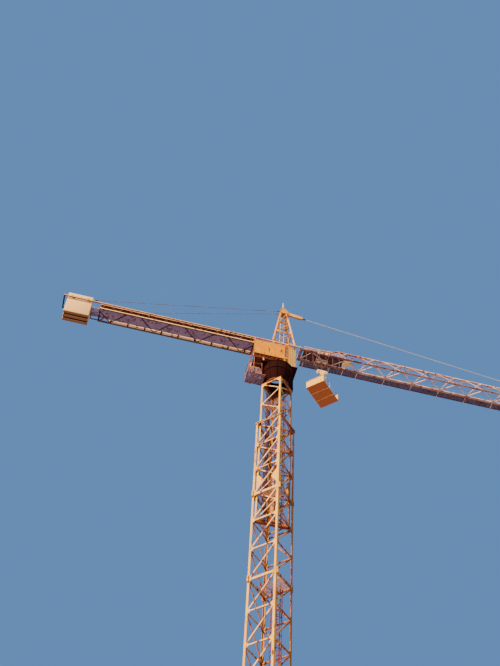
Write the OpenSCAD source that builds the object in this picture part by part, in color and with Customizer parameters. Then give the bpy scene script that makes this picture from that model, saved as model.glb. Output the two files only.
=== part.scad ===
// Telescopic-mast tower crane with a triangular trolley jib.
// The origin is the centre of the base plate's underside, +X runs along the jib and +Z is up.

/* [Base] */
// Half length of the anchor cross arms
base_reach = 1450; // [1300:10:1700]
// Width of the anchor plates
base_plate_w = 420; // [380:10:600]
// Thickness of the anchor plates
base_plate_t = 40; // [25:5:60]
// Width of the cross beams
base_beam_w = 160; // [120:10:200]
// Height of the cross beams
base_beam_h = 300; // [200:10:400]
// Height of the shoes under the mast posts
base_shoe_h = 110; // [60:10:200]
// Diameter of the anchor bolt holes
anchor_d = 34; // [20:1:50]
// Distance from the mast axis to the anchor bolt rows
anchor_reach = 1350; // [1250:10:1400]
// Distance between the two bolts of an anchor row
anchor_gap = 290; // [260:10:320]

/* [Outer mast] */
// Width of the outer mast over its posts
mast_w = 1640; // [1400:10:1900]
// Leg length of the outer corner angles
post_leg = 115; // [90:5:200]
// Thickness of the outer corner angles
post_t = 16; // [10:1:24]
// Thickness of the outer lacing bars
lace_t = 50; // [35:1:60]
// Width of the outer lacing bars
lace_w = 75; // [45:1:100]
// Number of mast sections
sections = 4; // [3:1:5]
// Height of one mast section
section_h = 5850; // [5000:50:6500]
// Lattice bays in one section
section_bays = 3; // [2:1:4]

/* [Inner mast] */
// Space between the outer lacing and the inner mast
mast_space = 69; // [62:1:100]
// Leg length of the inner corner angles
inner_leg = 100; // [90:5:150]
// Thickness of the inner corner angles
inner_t = 14; // [8:1:20]
// Thickness of the inner lacing bars
inner_lace_t = 44; // [30:1:50]
// Width of the inner lacing bars
inner_lace_w = 66; // [40:1:90]
// Length of the inner mast
inner_len = 11300; // [10500:100:12500]
// Lattice bays of the inner mast
inner_bays = 6; // [5:1:7]
// Length of the inner mast above the outer one
inner_out = 3650; // [3000:50:4500]
// Size of the square beam under the inner mast
foot_beam = 200; // [120:10:220]
// Running gap between pieces that move past each other
run_gap = 6; // [5:1:10]
// Gap at a seat, a runner or a guide
seat_gap = 0.3; // [0.2:0.1:1]
// How far the inner mast goes down from rest
climb_down = 3300; // [2500:100:3500]

/* [Slewing part] */
// Thickness of the inner mast's head plate
head_plate_t = 60; // [40:5:90]
// Outer radius of the slewing ring
ring_r = 740; // [650:10:800]
// Inner radius of the slewing ring
ring_ri = 560; // [450:10:600]
// Height of each half of the slewing ring
ring_h = 92; // [60:2:120]
// Radius of the pedestal drum
drum_r = 980; // [900:10:1050]
// Height of the pedestal cone
cone_h = 700; // [500:10:900]
// Height of the pedestal drum
drum_h = 650; // [500:10:800]
// Wall of the pedestal
drum_wall = 40; // [20:5:60]
// Half length of the slewing deck
deck_l = 1150; // [1100:10:1250]
// Half width of the slewing deck
deck_w = 650; // [620:10:750]
// Thickness of the slewing deck
deck_t = 60; // [30:5:90]
// Height of the frame posts from deck to rails
frame_h = 1740; // [1600:10:2000]
// Size of the frame's rails and posts
rail = 80; // [60:5:100]

/* [Cathead] */
// Centre of the cathead along the jib
cathead_x = 270; // [200:10:300]
// Half length of the cathead's foot
cathead_foot = 720; // [600:10:760]
// Half length of the cathead's top
cathead_top = 200; // [150:10:260]
// Half width of the cathead's top
cathead_top_y = 150; // [120:10:200]
// Height of the cathead's legs
cathead_h = 3850; // [3400:50:4200]
// Thickness of the cathead's legs
cathead_leg = 100; // [70:5:120]
// Length of the rod on the cathead
rod_len = 700; // [600:50:1200]

/* [Jib] */
// Distance between the bottom chords
jib_w = 790; // [760:10:900]
// Height from the bottom chords to the top chord
jib_h = 1150; // [1000:10:1400]
// Length of one lattice bay
jib_bay = 1900; // [1700:10:2100]
// Thickness of the chords
chord = 90; // [70:5:100]
// Thickness of the bracing bars
brace = 46; // [35:1:50]
// Bays in each of the three middle sections
mid_bays = 3; // [2:1:4]
// Width of the catwalk
walk_w = 560; // [400:10:700]
// Thickness of the catwalk grating
walk_t = 30; // [20:1:40]

/* [Counter-jib] */
// Length of the counter-jib from the frame to the tip
cj_len = 12500; // [12000:100:13000]
// Distance between the girder centres
cj_w = 1000; // [960:10:1100]
// Height of the girders between chord centres
cj_h = 570; // [500:10:650]
// Bays of the girder lacing
cj_bays = 18; // [14:1:22]
// Width of the floor grating
floor_w = 700; // [500:10:760]
// Length of a counterweight slab
slab_l = 1600; // [1400:10:1650]
// Height of a counterweight slab
slab_h = 2050; // [1800:10:2200]
// Thickness of a counterweight slab
slab_t = 265; // [250:5:285]

/* [Hoist] */
// Place of the trolley along the jib at rest
trolley_x = 2950; // [2900:10:3100]
// Radius of the rope sheaves
sheave_r = 165; // [120:5:170]
// Radius of the hoist rope
rope_r = 8; // [6:1:10]
// Height from the jib's level down to the hook block
block_drop = 950; // [900:10:1100]
// Length of the load bin
bin_l = 1900; // [1700:10:2000]
// Width of the load bin
bin_w = 1250; // [1100:10:1300]
// Height of the load bin
bin_h = 580; // [450:10:650]
// Wall thickness of the load bin
bin_t = 20; // [10:1:30]

/* [Hidden] */
$fn = 48;
mast_turn = 45;
lace_end = 10;
base_h = base_plate_t + base_beam_h + base_shoe_h;
inner_w = mast_w - 2 * (post_t + lace_t + mast_space);
outer_top = base_h + sections * section_h;
inner_top = outer_top + inner_out;
inner_foot = inner_top - inner_len;
ring_z = inner_top + head_plate_t;
pedestal_z = ring_z + ring_h + seat_gap;
deck_z = pedestal_z + ring_h + cone_h + drum_h;
deck_top = deck_z + deck_t;
frame_y = cj_w / 2;
cj_z = deck_top + frame_h + rail / 2;
cj_top = cj_z + cj_h;
rail_top = cj_top + rail / 2;
frame_back = -1700;
frame_nose = 1450;
jib_z = rail_top - chord - 10;
chord_y = jib_w / 2;
jib_top = jib_z + jib_h;
root_node = 5520;
root_apex = 4070;
mid_len = mid_bays * jib_bay;
jib_end = root_node + 3 * mid_len + jib_bay;
flange_w = 60;
flange_t = 12;
flange_y = chord_y + chord / 2;
flange_top = jib_z - chord / 2 + flange_t;
bracket_z = jib_z + chord / 2 + 35;
bracket_t = 40;
walk_z = bracket_z + bracket_t;
deck2_z = jib_z + brace / 2;
cat_z = rail_top;
cat_top = cat_z + cathead_h;
lug_w = 30;
cheek_y = 60;
cheek_t = 20;
cheek_h = 750;
cheek_low_h = 330;
link_w = 300;
link_t = 110;
tie_d = 44;
tie_x = root_node + 8 * jib_bay + 200;
tie_lug_h = 170;
cj_tip = frame_back - cj_len;
slab_end = cj_tip + 250;
slab_gap = 35;
girder_end = slab_end + slab_l + 550;
weight_bar = 80;
cj_tie_x = girder_end - 500;
wheel_r = 50;
wheel_w = 48;
wheel_span = 300;
plate_y = flange_y + flange_w + run_gap;
plate_t = 14;
trolley_l = 400;
trolley_z = jib_z - 120;
sheave_w = 60;
sheave_x = sheave_r + 40;
upper_sheave_z = trolley_z - sheave_r + 20;
block_z = jib_z - block_drop - 450;
block_cheek = 40;
fall_x = [-sheave_x - sheave_r - rope_r - 0.3, -sheave_x + sheave_r + rope_r + 0.3,
    sheave_x - sheave_r - rope_r - 0.3, sheave_x + sheave_r + rope_r + 0.3];
hook_r = 90;
hook_t = 30;
hook_z = block_z - 490;
ring_link = 70;
ring_wire = 12;
link_z = hook_z - hook_r + hook_t + ring_wire - ring_link - 0.3;
bin_top = block_z - 1620;
bin_z = bin_top - bin_h;
skid = 50;
winch_x = 2500;
winch_box = 1100;
guard_in = 620;
guard_out = 140;
guard_tube = 40;
guard_rise = 190;
ladder_w = 350;
rung_pitch = 300;
ladder_top = inner_foot - foot_beam - climb_down - 60;
cab_x = 300;
cab_h = 2190;
level_z = deck_top + 1840;

// A box given by its six limits
module block(x0, x1, y0, y1, z0, z1) {
    translate([x0, y0, z0]) cube([x1 - x0, y1 - y0, z1 - z0]);
}

// Turns its children's +Z from point a to point b
module aim(a, b) {
    v = b - a;
    translate(a) rotate([0, acos(v.z / norm(v)), atan2(v.y, v.x)]) children();
}

// A square bar between two points
module bar(a, b, w) {
    aim(a, b) translate([-w / 2, -w / 2, 0]) cube([w, w, norm(b - a)]);
}

// A round rod between two points
module rod(a, b, d) {
    aim(a, b) cylinder(d = d, h = norm(b - a), $fn = 12);
}

// The same shape on both sides of the jib's middle plane
module both_sides() {
    children();
    mirror([0, 1, 0]) children();
}

// One flat lattice side: level bars and one rising diagonal in each bay
module lattice_side(half, h, n, b) {
    pitch = h / n;
    v = b / cos(atan2(pitch, 2 * half));
    for (k = [0:n]) translate([-half, k == 0 ? 0 : k == n ? h - b : k * pitch - b / 2]) square([2 * half, b]);
    for (k = [0:n - 1])
        polygon([[-half, k * pitch], [-half, k * pitch + v], [half, (k + 1) * pitch], [half, (k + 1) * pitch - v]]);
}

// One flat lattice side with level bars at its ends and a zigzag of 2n bars that starts at side s
module zigzag_side(half, h, n, b, s) {
    pitch = h / (2 * n);
    v = b / cos(atan2(pitch, 2 * half));
    step = (h - v) / (2 * n);
    for (z = [0, h - b]) translate([-half, z]) square([2 * half, b]);
    for (k = [0:2 * n - 1]) {
        a = k % 2 == 0 ? s * half : -s * half;
        polygon([[a, k * step], [a, k * step + v], [-a, (k + 1) * step + v], [-a, (k + 1) * step]]);
    }
}

// Four corner angles
module corner_angles(w, leg, t, z0, h) {
    c = w / 2;
    for (k = [0:3]) rotate([0, 0, mast_turn + 90 * k]) translate([0, 0, z0]) linear_extrude(h)
        polygon([[c, c], [c - leg, c], [c - leg, c - t], [c - t, c - t], [c - t, c - leg], [c, c - leg]]);
}

// Four lattice sides behind the legs of the corner angles
module lacing(w, t, b, bw, z0, h, n) {
    c = w / 2 - t;
    for (k = [0:3]) rotate([0, 0, mast_turn + 90 * k]) translate([0, -(c - b), z0])
        rotate([90, 0, 0]) linear_extrude(b) lattice_side(c - b - lace_end, h, n, bw);
}

// A ladder whose back lies at distance y from the mast axis
module ladder(y, z0, z1, turn) {
    rotate([0, 0, mast_turn + turn]) {
        for (s = [-1, 1]) block(s * ladder_w / 2 - 15, s * ladder_w / 2 + 15, y - 50, y, z0, z1);
        for (z = [z0 + rung_pitch / 2:rung_pitch:z1 - 50])
            block(-ladder_w / 2, ladder_w / 2, y - 38, y - 14, z - 12, z + 12);
    }
}

module base_plate() {
    color("#6b6258") difference() {
        union() {
            block(-base_reach, base_reach, -base_plate_w / 2, base_plate_w / 2, 0, base_plate_t);
            block(-base_plate_w / 2, base_plate_w / 2, -base_reach, base_reach, 0, base_plate_t);
        }
        for (k = [0:3], s = [-1, 1]) rotate([0, 0, 90 * k])
            translate([anchor_reach, s * anchor_gap / 2, -1]) cylinder(d = anchor_d, h = base_plate_t + 2);
    }
}

module base_cross() {
    color("#d9a352") {
        block(-base_reach, base_reach, -base_beam_w / 2, base_beam_w / 2, base_plate_t, base_plate_t + base_beam_h);
        block(-base_beam_w / 2, base_beam_w / 2, -base_reach, base_reach, base_plate_t, base_plate_t + base_beam_h);
    }
}

module base_shoes() {
    r = mast_w / sqrt(2) - 90;
    color("#d9a352") for (k = [0:3]) rotate([0, 0, 90 * k])
        block(r - 130, r + 130, -120, 120, base_plate_t + base_beam_h, base_h);
}

module mast_posts(i) {
    color("#f0cf8c") corner_angles(mast_w, post_leg, post_t, base_h + (i - 1) * section_h, section_h);
}

module mast_lacing(i) {
    color("#e6c07a") lacing(mast_w, post_t, lace_t, lace_w, base_h + (i - 1) * section_h, section_h, section_bays);
}

module mast_ladder() {
    color("#c9a46a") ladder(mast_w / 2 - post_t - lace_t, base_h, ladder_top, -90);
}

module mast_guides() {
    c = mast_w / 2 - post_t - lace_t;
    p = inner_w / 2 + seat_gap;
    color("#8a4a2c") for (k = [0:3], s = [-1, 1]) rotate([0, 0, mast_turn + 90 * k])
        block(s * (inner_w / 2 - 65) - 45, s * (inner_w / 2 - 65) + 45, -c, -p, outer_top - 150, outer_top);
}

module inner_posts() {
    color("#f3d79a") corner_angles(inner_w, inner_leg, inner_t, inner_foot, inner_len);
}

module inner_lacing() {
    c = inner_w / 2 - inner_t;
    b = inner_lace_t;
    color("#e0b46c") for (k = [0:3]) rotate([0, 0, mast_turn + 90 * k]) translate([0, -(c - b), inner_foot])
        rotate([90, 0, 0]) linear_extrude(b)
            zigzag_side(c - b - lace_end, inner_len, inner_bays, inner_lace_w, k % 2 == 0 ? 1 : -1);
}

module inner_foot_beam() {
    half = (mast_w / 2 - post_t - lace_t) * sqrt(2) - foot_beam / 2 - 2 * run_gap;
    color("#8c3f22")
        block(-half, half, -foot_beam / 2, foot_beam / 2, inner_foot - foot_beam, inner_foot);
}

module inner_ladder() {
    color("#c9a46a") ladder(inner_w / 2 - inner_t - inner_lace_t, inner_foot, inner_top - 30, -90);
}

module mast_head() {
    color("#5a2a1c") difference() {
        union() {
            rotate([0, 0, mast_turn]) block(-inner_w / 2, inner_w / 2, -inner_w / 2, inner_w / 2,
                inner_top, inner_top + head_plate_t);
            translate([0, 0, ring_z]) cylinder(r = ring_r, h = ring_h);
        }
        translate([0, 0, inner_top - 1]) cylinder(r = ring_ri, h = head_plate_t + ring_h + 2);
    }
}

module slew_pedestal() {
    color("#4a2016") translate([0, 0, pedestal_z]) rotate_extrude()
        polygon([[ring_ri, 0], [ring_r, 0], [ring_r, ring_h], [drum_r, ring_h + cone_h],
            [drum_r, ring_h + cone_h + drum_h], [drum_r - drum_wall, ring_h + cone_h + drum_h],
            [drum_r - drum_wall, ring_h + cone_h], [ring_r - drum_wall, ring_h], [ring_ri, ring_h]]);
}

module slew_deck() {
    color("#5a2a1c") difference() {
        block(-deck_l, deck_l, -deck_w, deck_w, deck_z, deck_top);
        block(-300, 300, 60, 560, deck_z - 1, deck_top + 1);
    }
}

module slew_frame() {
    r = rail / 2;
    near = -frame_y;
    color("#d08a3c") {
        both_sides() {
            block(frame_back, frame_nose, near - r, near + r, rail_top - rail, rail_top);
            for (x = [-1050, 180]) block(x - r, x + r, near - r, near + r, deck_top, rail_top - r);
            for (x = [frame_back + r, -450])
                block(x - r, x + r, near - r, near + r, cj_z - r, rail_top - r);
            block(frame_back, frame_back + rail, near - r, near + r, deck_top + 440, cj_z);
            block(frame_back, cab_x - 80, near - r, near + r, cj_z - r, cj_z + r);
            bar([-1050, near, deck_top + 500], [180, near, cj_z], 60);
            block(frame_back, 220, near - r - 10, near + r, deck_top + 440, deck_top + 680);
        }
        for (x = [frame_back + r, -450, 180]) block(x - r, x + r, near, -near, cj_z - r, cj_z + r);
        for (x = [frame_back + r, 990, frame_nose - r])
            block(x - r, x + r, near, -near, rail_top - rail, rail_top);
        block(420, 520, near - r, -near + r, deck_top + cab_h, rail_top - r);
    }
}

module service_platform() {
    z0 = pedestal_z + 300;
    z1 = z0 + 30;
    x0 = frame_back - 300;
    color("#8a4a36") {
        block(x0, -860, -450, 450, z0, z1);
        both_sides() {
            for (x = [x0 + 20, frame_back + 60]) block(x - 20, x + 20, -450, -410, z0, z1 + 1000);
            block(frame_back + 40, frame_back + 80, -frame_y, -frame_y + 40, z0, deck_top + 440);
            block(frame_back, frame_back + 80, -frame_y, -410, z0, z1);
            block(-1140, -1100, -450, -410, z0, deck_z);
            for (h = [500, 980]) block(x0, -1100, -440, -420, z1 + h - 10, z1 + h + 10);
        }
        for (h = [500, 980]) block(x0 + 10, x0 + 30, -430, 430, z1 + h - 10, z1 + h + 10);
    }
}

module sign_panel() {
    y0 = -frame_y - rail / 2;
    z0 = deck_top + 690;
    z1 = deck_top + 2040;
    color("#f0b850") difference() {
        block(frame_back - 10, cab_x - 20, y0 - 50, y0, z0, z1);
        block(frame_back + 30, cab_x - 60, y0 - 35, y0 + 1, z0 + 40, z1 - 40);
    }
}

module operator_cab() {
    color("#e8b04c") translate([0, 0, deck_top]) difference() {
        linear_extrude(cab_h) polygon([[cab_x, -580], [cab_x + 260, -580], [cab_x + 780, -330],
            [cab_x + 780, 440], [cab_x, 440]]);
        translate([0, 0, 60]) linear_extrude(cab_h - 120) polygon([[cab_x + 40, -540], [cab_x + 250, -540],
            [cab_x + 740, -305], [cab_x + 740, 400], [cab_x + 40, 400]]);
        block(cab_x + 50, cab_x + 230, -600, -500, 900, 1900);
        block(cab_x + 700, cab_x + 800, -220, 360, 900, 1900);
        block(cab_x + 120, cab_x + 660, 380, 460, 60, 1960);
    }
}

// The corner points of the cathead at a share f of its height
function cat_corner(sx, sy, f) = [
    cathead_x + sx * (cathead_foot + f * (cathead_top - cathead_foot)),
    sy * (frame_y + f * (cathead_top_y - frame_y)),
    cat_z + f * cathead_h];

module cathead() {
    levels = [0, 0.36, 0.68, 1];
    corners = [[-1, -1], [1, -1], [1, 1], [-1, 1]];
    color("#e0a850") intersection() {
        union() for (k = [0:3]) {
            a = corners[k];
            b = corners[(k + 1) % 4];
            bar(cat_corner(a.x, a.y, -0.02), cat_corner(a.x, a.y, 1.02), cathead_leg);
            for (i = [0:2]) {
                bar(cat_corner(a.x, a.y, levels[i]), cat_corner(b.x, b.y, levels[i + 1]), 45);
                bar(cat_corner(a.x, a.y, levels[i + 1]), cat_corner(b.x, b.y, levels[i + 1]), 50);
            }
        }
        block(-1000, 1500, -700, 700, cat_z, cat_top);
    }
}

module cathead_head() {
    color("#e8b860") {
        block(cathead_x - 300, cathead_x + 330, -220, 220, cat_top, cat_top + 60);
        both_sides() translate([cathead_x, -cheek_y, cat_top]) rotate([90, 0, 0]) linear_extrude(cheek_t)
            polygon([[-280, 50], [400, 50], [400, cheek_low_h], [60, cheek_h], [-100, cheek_h], [-280, cheek_low_h]]);
        block(cathead_x - 100, cathead_x + 60, -cheek_y - 5, cheek_y + 5, cat_top + cheek_h - 40, cat_top + cheek_h);
    }
}

module cathead_rod() {
    color("#f2efe6") translate([cathead_x - 20, 0, cat_top + cheek_h]) {
        cylinder(r = 60, h = 60);
        cylinder(r = 26, h = rod_len);
    }
}

// Bottom chord with its outboard running flange, on the near side
module near_chord(x0, x1) {
    block(x0, x1, -chord_y - chord / 2, -chord_y + chord / 2, jib_z - chord / 2, jib_z + chord / 2);
    block(x0, x1, -flange_y - flange_w, -flange_y + 10, jib_z - chord / 2, flange_top);
}

// Bottom cross bar and catwalk bracket at a far-side node
module walk_bracket(x) {
    block(x, x + bracket_t, chord_y - chord / 2, flange_y + 45 + walk_w, bracket_z, walk_z);
    block(x, x + bracket_t, chord_y - chord / 2, chord_y + chord / 2, jib_z, bracket_z);
}

// One straight stretch of the jib with n bays from x0
module jib_stretch(x0, n, tip = false) {
    x1 = x0 + n * jib_bay;
    half = jib_bay / 2;
    color("#a8583a") intersection() {
        union() {
            both_sides() near_chord(x0, x1);
            block(x0, x1, -chord / 2, chord / 2, jib_top - chord / 2, jib_top + chord / 2);
            for (k = [0:n - 1]) {
                xa = x0 + k * jib_bay;
                xb = xa + jib_bay;
                xm = xa + half;
                bar([xa, chord_y, jib_z], [xm, -chord_y, jib_z], brace);
                bar([xm, -chord_y, jib_z], [xb, chord_y, jib_z], brace);
                bar([xa, chord_y, jib_z], [xm, 0, jib_top], brace);
                bar([xm, 0, jib_top], [xb, chord_y, jib_z], brace);
                bar([xa, 0, jib_top], [xm, -chord_y, jib_z], brace);
                bar([xm, -chord_y, jib_z], [xb, 0, jib_top], brace);
                walk_bracket(xa + 20);
            }
            if (tip) {
                xe = x1 - 85;
                bar([xe, -chord_y, jib_z], [xe, chord_y, jib_z], 64);
                bar([xe, chord_y, jib_z], [xe, 0, jib_top], 60);
                bar([xe, -chord_y, jib_z], [xe, 0, jib_top], 60);
            }
            if (x0 < tie_x && tie_x < x1)
                block(tie_x - 75, tie_x + 75, -lug_w / 2, lug_w / 2, jib_top, jib_top + chord / 2 + tie_lug_h);
        }
        block(x0, x1, -2000, 2000, jib_z - 500, jib_top + 500);
    }
}

module jib_root() {
    xm = root_node - jib_bay / 2;
    xa = root_node - jib_bay;
    color("#7a3a24") intersection() {
        union() {
            both_sides() {
                near_chord(frame_nose, root_node);
                bar([frame_nose + 60, -chord_y, jib_z], [root_apex, 0, jib_top], 70);
            }
            block(root_apex - 40, root_node, -chord / 2, chord / 2, jib_top - chord / 2, jib_top + chord / 2);
            bar([frame_nose + 60, -chord_y, jib_z], [frame_nose + 60, chord_y, jib_z], 90);
            bar([frame_nose + 60, chord_y, jib_z], [2200, -chord_y, jib_z], brace);
            bar([2200, -chord_y, jib_z], [xa, chord_y, jib_z], brace);
            bar([2200, -chord_y, jib_z], [root_apex, 0, jib_top], brace);
            bar([2200, chord_y, jib_z], [root_apex, 0, jib_top], brace);
            bar([xa, chord_y, jib_z], [xm, -chord_y, jib_z], brace);
            bar([xm, -chord_y, jib_z], [root_node, chord_y, jib_z], brace);
            bar([root_apex, 0, jib_top], [xm, -chord_y, jib_z], brace);
            bar([xm, -chord_y, jib_z], [root_node, 0, jib_top], brace);
            bar([root_apex, 0, jib_top], [xm, chord_y, jib_z], brace);
            bar([xm, 0, jib_top], [root_node, chord_y, jib_z], brace);
            for (x = [frame_nose + 400, xa + 20, xm]) walk_bracket(x);
        }
        block(frame_nose, root_node, -2000, 2000, jib_z - 500, jib_top + 500);
    }
}

module jib_section(i) {
    jib_stretch(root_node + (i - 1) * mid_len, mid_bays);
}

module jib_tip() {
    jib_stretch(root_node + 3 * mid_len, 1, tip = true);
}

module catwalk() {
    color("#6a5560")
        block(frame_nose + 250, jib_end - 60, flange_y + 45, flange_y + 45 + walk_w, walk_z, walk_z + walk_t);
}

module winch_deck() {
    color("#5c2c20") block(frame_nose + 200, root_node - winch_box - 40, -chord_y + 70, chord_y - 70, deck2_z, deck2_z + 25);
}

module hoist_winch() {
    z0 = deck2_z + 25;
    color("#4a5a52") translate([winch_x, 0, z0]) {
        block(-260, 620, -180, 180, 0, 40);
        for (s = [-1, 1]) block(-130, 130, s * 165 - 15, s * 165 + 15, 30, 290);
        translate([0, 155, 190]) rotate([90, 0, 0]) cylinder(r = 120, h = 310);
        block(230, 580, -110, 110, 30, 250);
    }
}

module trolley_winch() {
    color("#e8b850") block(root_node - winch_box, root_node - winch_box + 500, -200, 200, deck2_z, deck2_z + 300);
}

module jib_tie() {
    head = [cathead_x + 330, 0, cat_top + 260];
    link = [cathead_x + 1260, 0, cat_top + 110];
    foot = [tie_x, 0, jib_top + chord / 2 + tie_lug_h - 70];
    u = (foot - link) / norm(foot - link);
    neck = foot - 200 * u;
    color("#c98a48") {
        translate([head.x, cheek_y, head.z]) rotate([90, 0, 0]) cylinder(r = 45, h = 2 * cheek_y);
        aim(head, link) translate([-link_w / 2, -link_t / 2, 0]) cube([link_w, link_t, norm(link - head)]);
        translate([link.x, link_t / 2 + 10, link.z]) rotate([90, 0, 0])
            cylinder(r = link_w / 2, h = link_t + 20);
        rod(link, neck, tie_d);
        bar(neck - 60 * u, neck + 40 * u, 62);
        for (s = [-1, 1]) aim(neck, foot)
            translate([-50, s * (lug_w / 2 + 8) - 8, 0]) cube([100, 16, 230]);
    }
}

// Flat side of a counter-jib girder, drawn with its length along +X from the tip
module girder_side() {
    r = rail / 2;
    g = frame_back - girder_end;
    off = cj_len - g;
    pitch = g / cj_bays;
    b = 42;
    translate([0, cj_h - r]) square([cj_len, rail]);
    translate([off, -r]) square([g, rail]);
    for (k = [0:cj_bays - 1]) {
        lo = k % 2 == 0 ? -r : cj_h;
        hi = k % 2 == 0 ? cj_h : -r;
        polygon([[off + k * pitch, lo], [off + k * pitch + b, lo], [off + (k + 1) * pitch, hi + r],
            [off + (k + 1) * pitch - b, hi + r]]);
    }
    for (x = [off, cj_len - rail]) translate([x, 0]) square([rail, cj_h]);
}

module counter_girder(side) {
    color(side < 0 ? "#d08a4c" : "#e8c88c")
        translate([cj_tip, side * frame_y + rail / 2, cj_z]) rotate([90, 0, 0]) linear_extrude(rail) girder_side();
}

module counter_bracing() {
    w = frame_y - rail / 2;
    pitch = 2850;
    color("#6a4a50") translate([0, 0, cj_z - 20]) linear_extrude(40) {
        intersection() {
            for (k = [0:3]) {
                x = frame_back - 760 - k * pitch;
                polygon([[x - 20, w], [x + 20, w], [x + 1000, -w], [x + 950, -w]]);
                polygon([[x - 20, w], [x + 20, w], [x - 950, -w], [x - 1000, -w]]);
            }
            translate([girder_end, -w]) square([frame_back - girder_end, 2 * w]);
        }
        for (x = [frame_back - 60, girder_end]) translate([x, -w]) square([60, 2 * w]);
    }
    color("#6a4a50") block(cj_tip, cj_tip + rail, -w, w, cj_top - 40, cj_top + 40);
}

module counter_floor() {
    y0 = -frame_y + rail / 2 + 10;
    color("#7a6a75") block(girder_end + 100, frame_back - 20, y0, y0 + floor_w, cj_z + 20, cj_z + 50);
}

module counter_ties() {
    head = [cathead_x - 200, -cheek_y - cheek_t - 15, cat_top + 240];
    foot = [cj_tie_x, -frame_y, rail_top + 50];
    color("#7d6a58") both_sides() {
        translate([head.x, head.y + 15, head.z]) rotate([90, 0, 0]) cylinder(r = 45, h = 30);
        rod(head, foot, 30);
        block(foot.x - 60, foot.x + 60, foot.y - 30, foot.y + 30, rail_top, rail_top + 90);
    }
}

module counterweights() {
    color("#e8c8a0") for (k = [-1:1]) difference() {
        y = k * (slab_t + slab_gap);
        block(slab_end, slab_end + slab_l, y - slab_t / 2, y + slab_t / 2, level_z - 950, level_z - 950 + slab_h);
        for (x = [slab_end + 300, slab_end + slab_l - 300])
            block(x - weight_bar / 2, x + weight_bar / 2, y - slab_t, y + slab_t, rail_top, rail_top + weight_bar);
    }
}

module weight_bars() {
    color("#5a3a2c") for (x = [slab_end + 300, slab_end + slab_l - 300])
        block(x - weight_bar / 2, x + weight_bar / 2, -frame_y - 30, frame_y + 30, rail_top, rail_top + weight_bar);
}

module trolley_frame() {
    zt = flange_top + 2 * wheel_r;
    color("#7a3a24") translate([trolley_x, 0, 0]) {
        both_sides() {
            block(-trolley_l, trolley_l, -plate_y - plate_t, -plate_y, trolley_z, zt);
            block(-trolley_l, trolley_l, -52, -block_cheek, upper_sheave_z - 60, trolley_z + 60);
        }
        for (s = [-1, 1]) block(s * 360 - 30, s * 360 + 30, -plate_y, plate_y, trolley_z, trolley_z + 60);
    }
}

module trolley_wheels() {
    z = flange_top + seat_gap + wheel_r;
    color("#3a3632") translate([trolley_x, 0, z]) both_sides() for (s = [-1, 1])
        translate([s * wheel_span, 0, 0]) rotate([90, 0, 0]) {
            translate([0, 0, flange_y + run_gap]) cylinder(r = wheel_r, h = wheel_w);
            translate([0, 0, flange_y + run_gap]) cylinder(r = 18, h = plate_y - flange_y - run_gap);
        }
}

// Two sheaves on their pins, side by side along the jib
module sheave_pair(z, pin) {
    for (s = [-1, 1]) translate([trolley_x + s * sheave_x, 0, z]) rotate([90, 0, 0]) {
        translate([0, 0, -sheave_w / 2]) cylinder(r = sheave_r, h = sheave_w);
        translate([0, 0, -pin]) cylinder(r = 25, h = 2 * pin);
    }
}

module trolley_sheaves() {
    color("#e8d8a8") sheave_pair(upper_sheave_z, block_cheek);
}

module rope_falls() {
    color("#3c3a38") for (x = fall_x)
        translate([trolley_x + x, 0, block_z]) cylinder(r = rope_r, h = upper_sheave_z - block_z, $fn = 8);
}

module hook_block() {
    color("#f0dca0") translate([trolley_x, 0, block_z]) {
        both_sides() rotate([90, 0, 0]) translate([0, 0, block_cheek]) linear_extrude(14)
            polygon([[-370, 0], [-310, 175], [310, 175], [370, 0], [130, -185], [100, -300], [-100, -300], [-130, -185]]);
        block(-100, 100, -block_cheek, block_cheek, -300, -200);
        translate([0, 0, -360]) cylinder(r = 60, h = 60);
    }
}

module block_sheaves() {
    color("#f4e4b4") sheave_pair(block_z, block_cheek);
}

module hook() {
    color("#3a3632") translate([trolley_x, 0, hook_z]) {
        translate([0, 0, 60]) cylinder(r = 32, h = 70);
        rotate([90, 0, 0]) rotate([0, 0, 90]) rotate_extrude(angle = 270)
            translate([hook_r, 0]) circle(r = hook_t, $fn = 24);
    }
}

module slings() {
    zc = link_z - ring_link;
    color("#8fa0a8") translate([trolley_x, 0, 0]) {
        translate([0, 0, link_z]) rotate([0, 90, 0]) rotate_extrude()
            translate([ring_link, 0]) circle(r = ring_wire, $fn = 16);
        block(-32, 32, -32, 32, zc - 50, zc + 6);
        rotate([0, 0, 45]) for (sx = [-1, 1], sy = [-1, 1])
            rod([sx * 10, sy * 10, zc - 30], [sx * (bin_l / 2 - 40), sy * (bin_w / 2 - 40), bin_top + 20], 20);
        rotate([0, 0, 45]) for (sx = [-1, 1], sy = [-1, 1])
            translate([sx * (bin_l / 2 - 35), sy * (bin_w / 2 - 35), bin_top]) translate([-30, -30, 0]) cube([60, 60, 40]);
    }
}

module load_bin() {
    l = bin_l / 2;
    w = bin_w / 2;
    color("#f0d890") translate([trolley_x, 0, 0]) rotate([0, 0, 45]) {
        block(-l, l, -w, w, bin_z, bin_z + 40);
        block(-l, -l + bin_t, -w, w, bin_z, bin_top);
        block(l - bin_t, l, -w, w, bin_z, bin_top);
        block(-l, l, w - bin_t, w, bin_z, bin_top);
        for (sx = [-1, 1], sy = [-1, 1])
            block(sx * (l - 35) - 35, sx * (l - 35) + 35, sy * (w - 35) - 35, sy * (w - 35) + 35, bin_z, bin_top);
        for (s = [-1, 1]) block(s * bin_l / 6 - 30, s * bin_l / 6 + 30, -w, w, bin_z - skid, bin_z + 5);
    }
}

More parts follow.
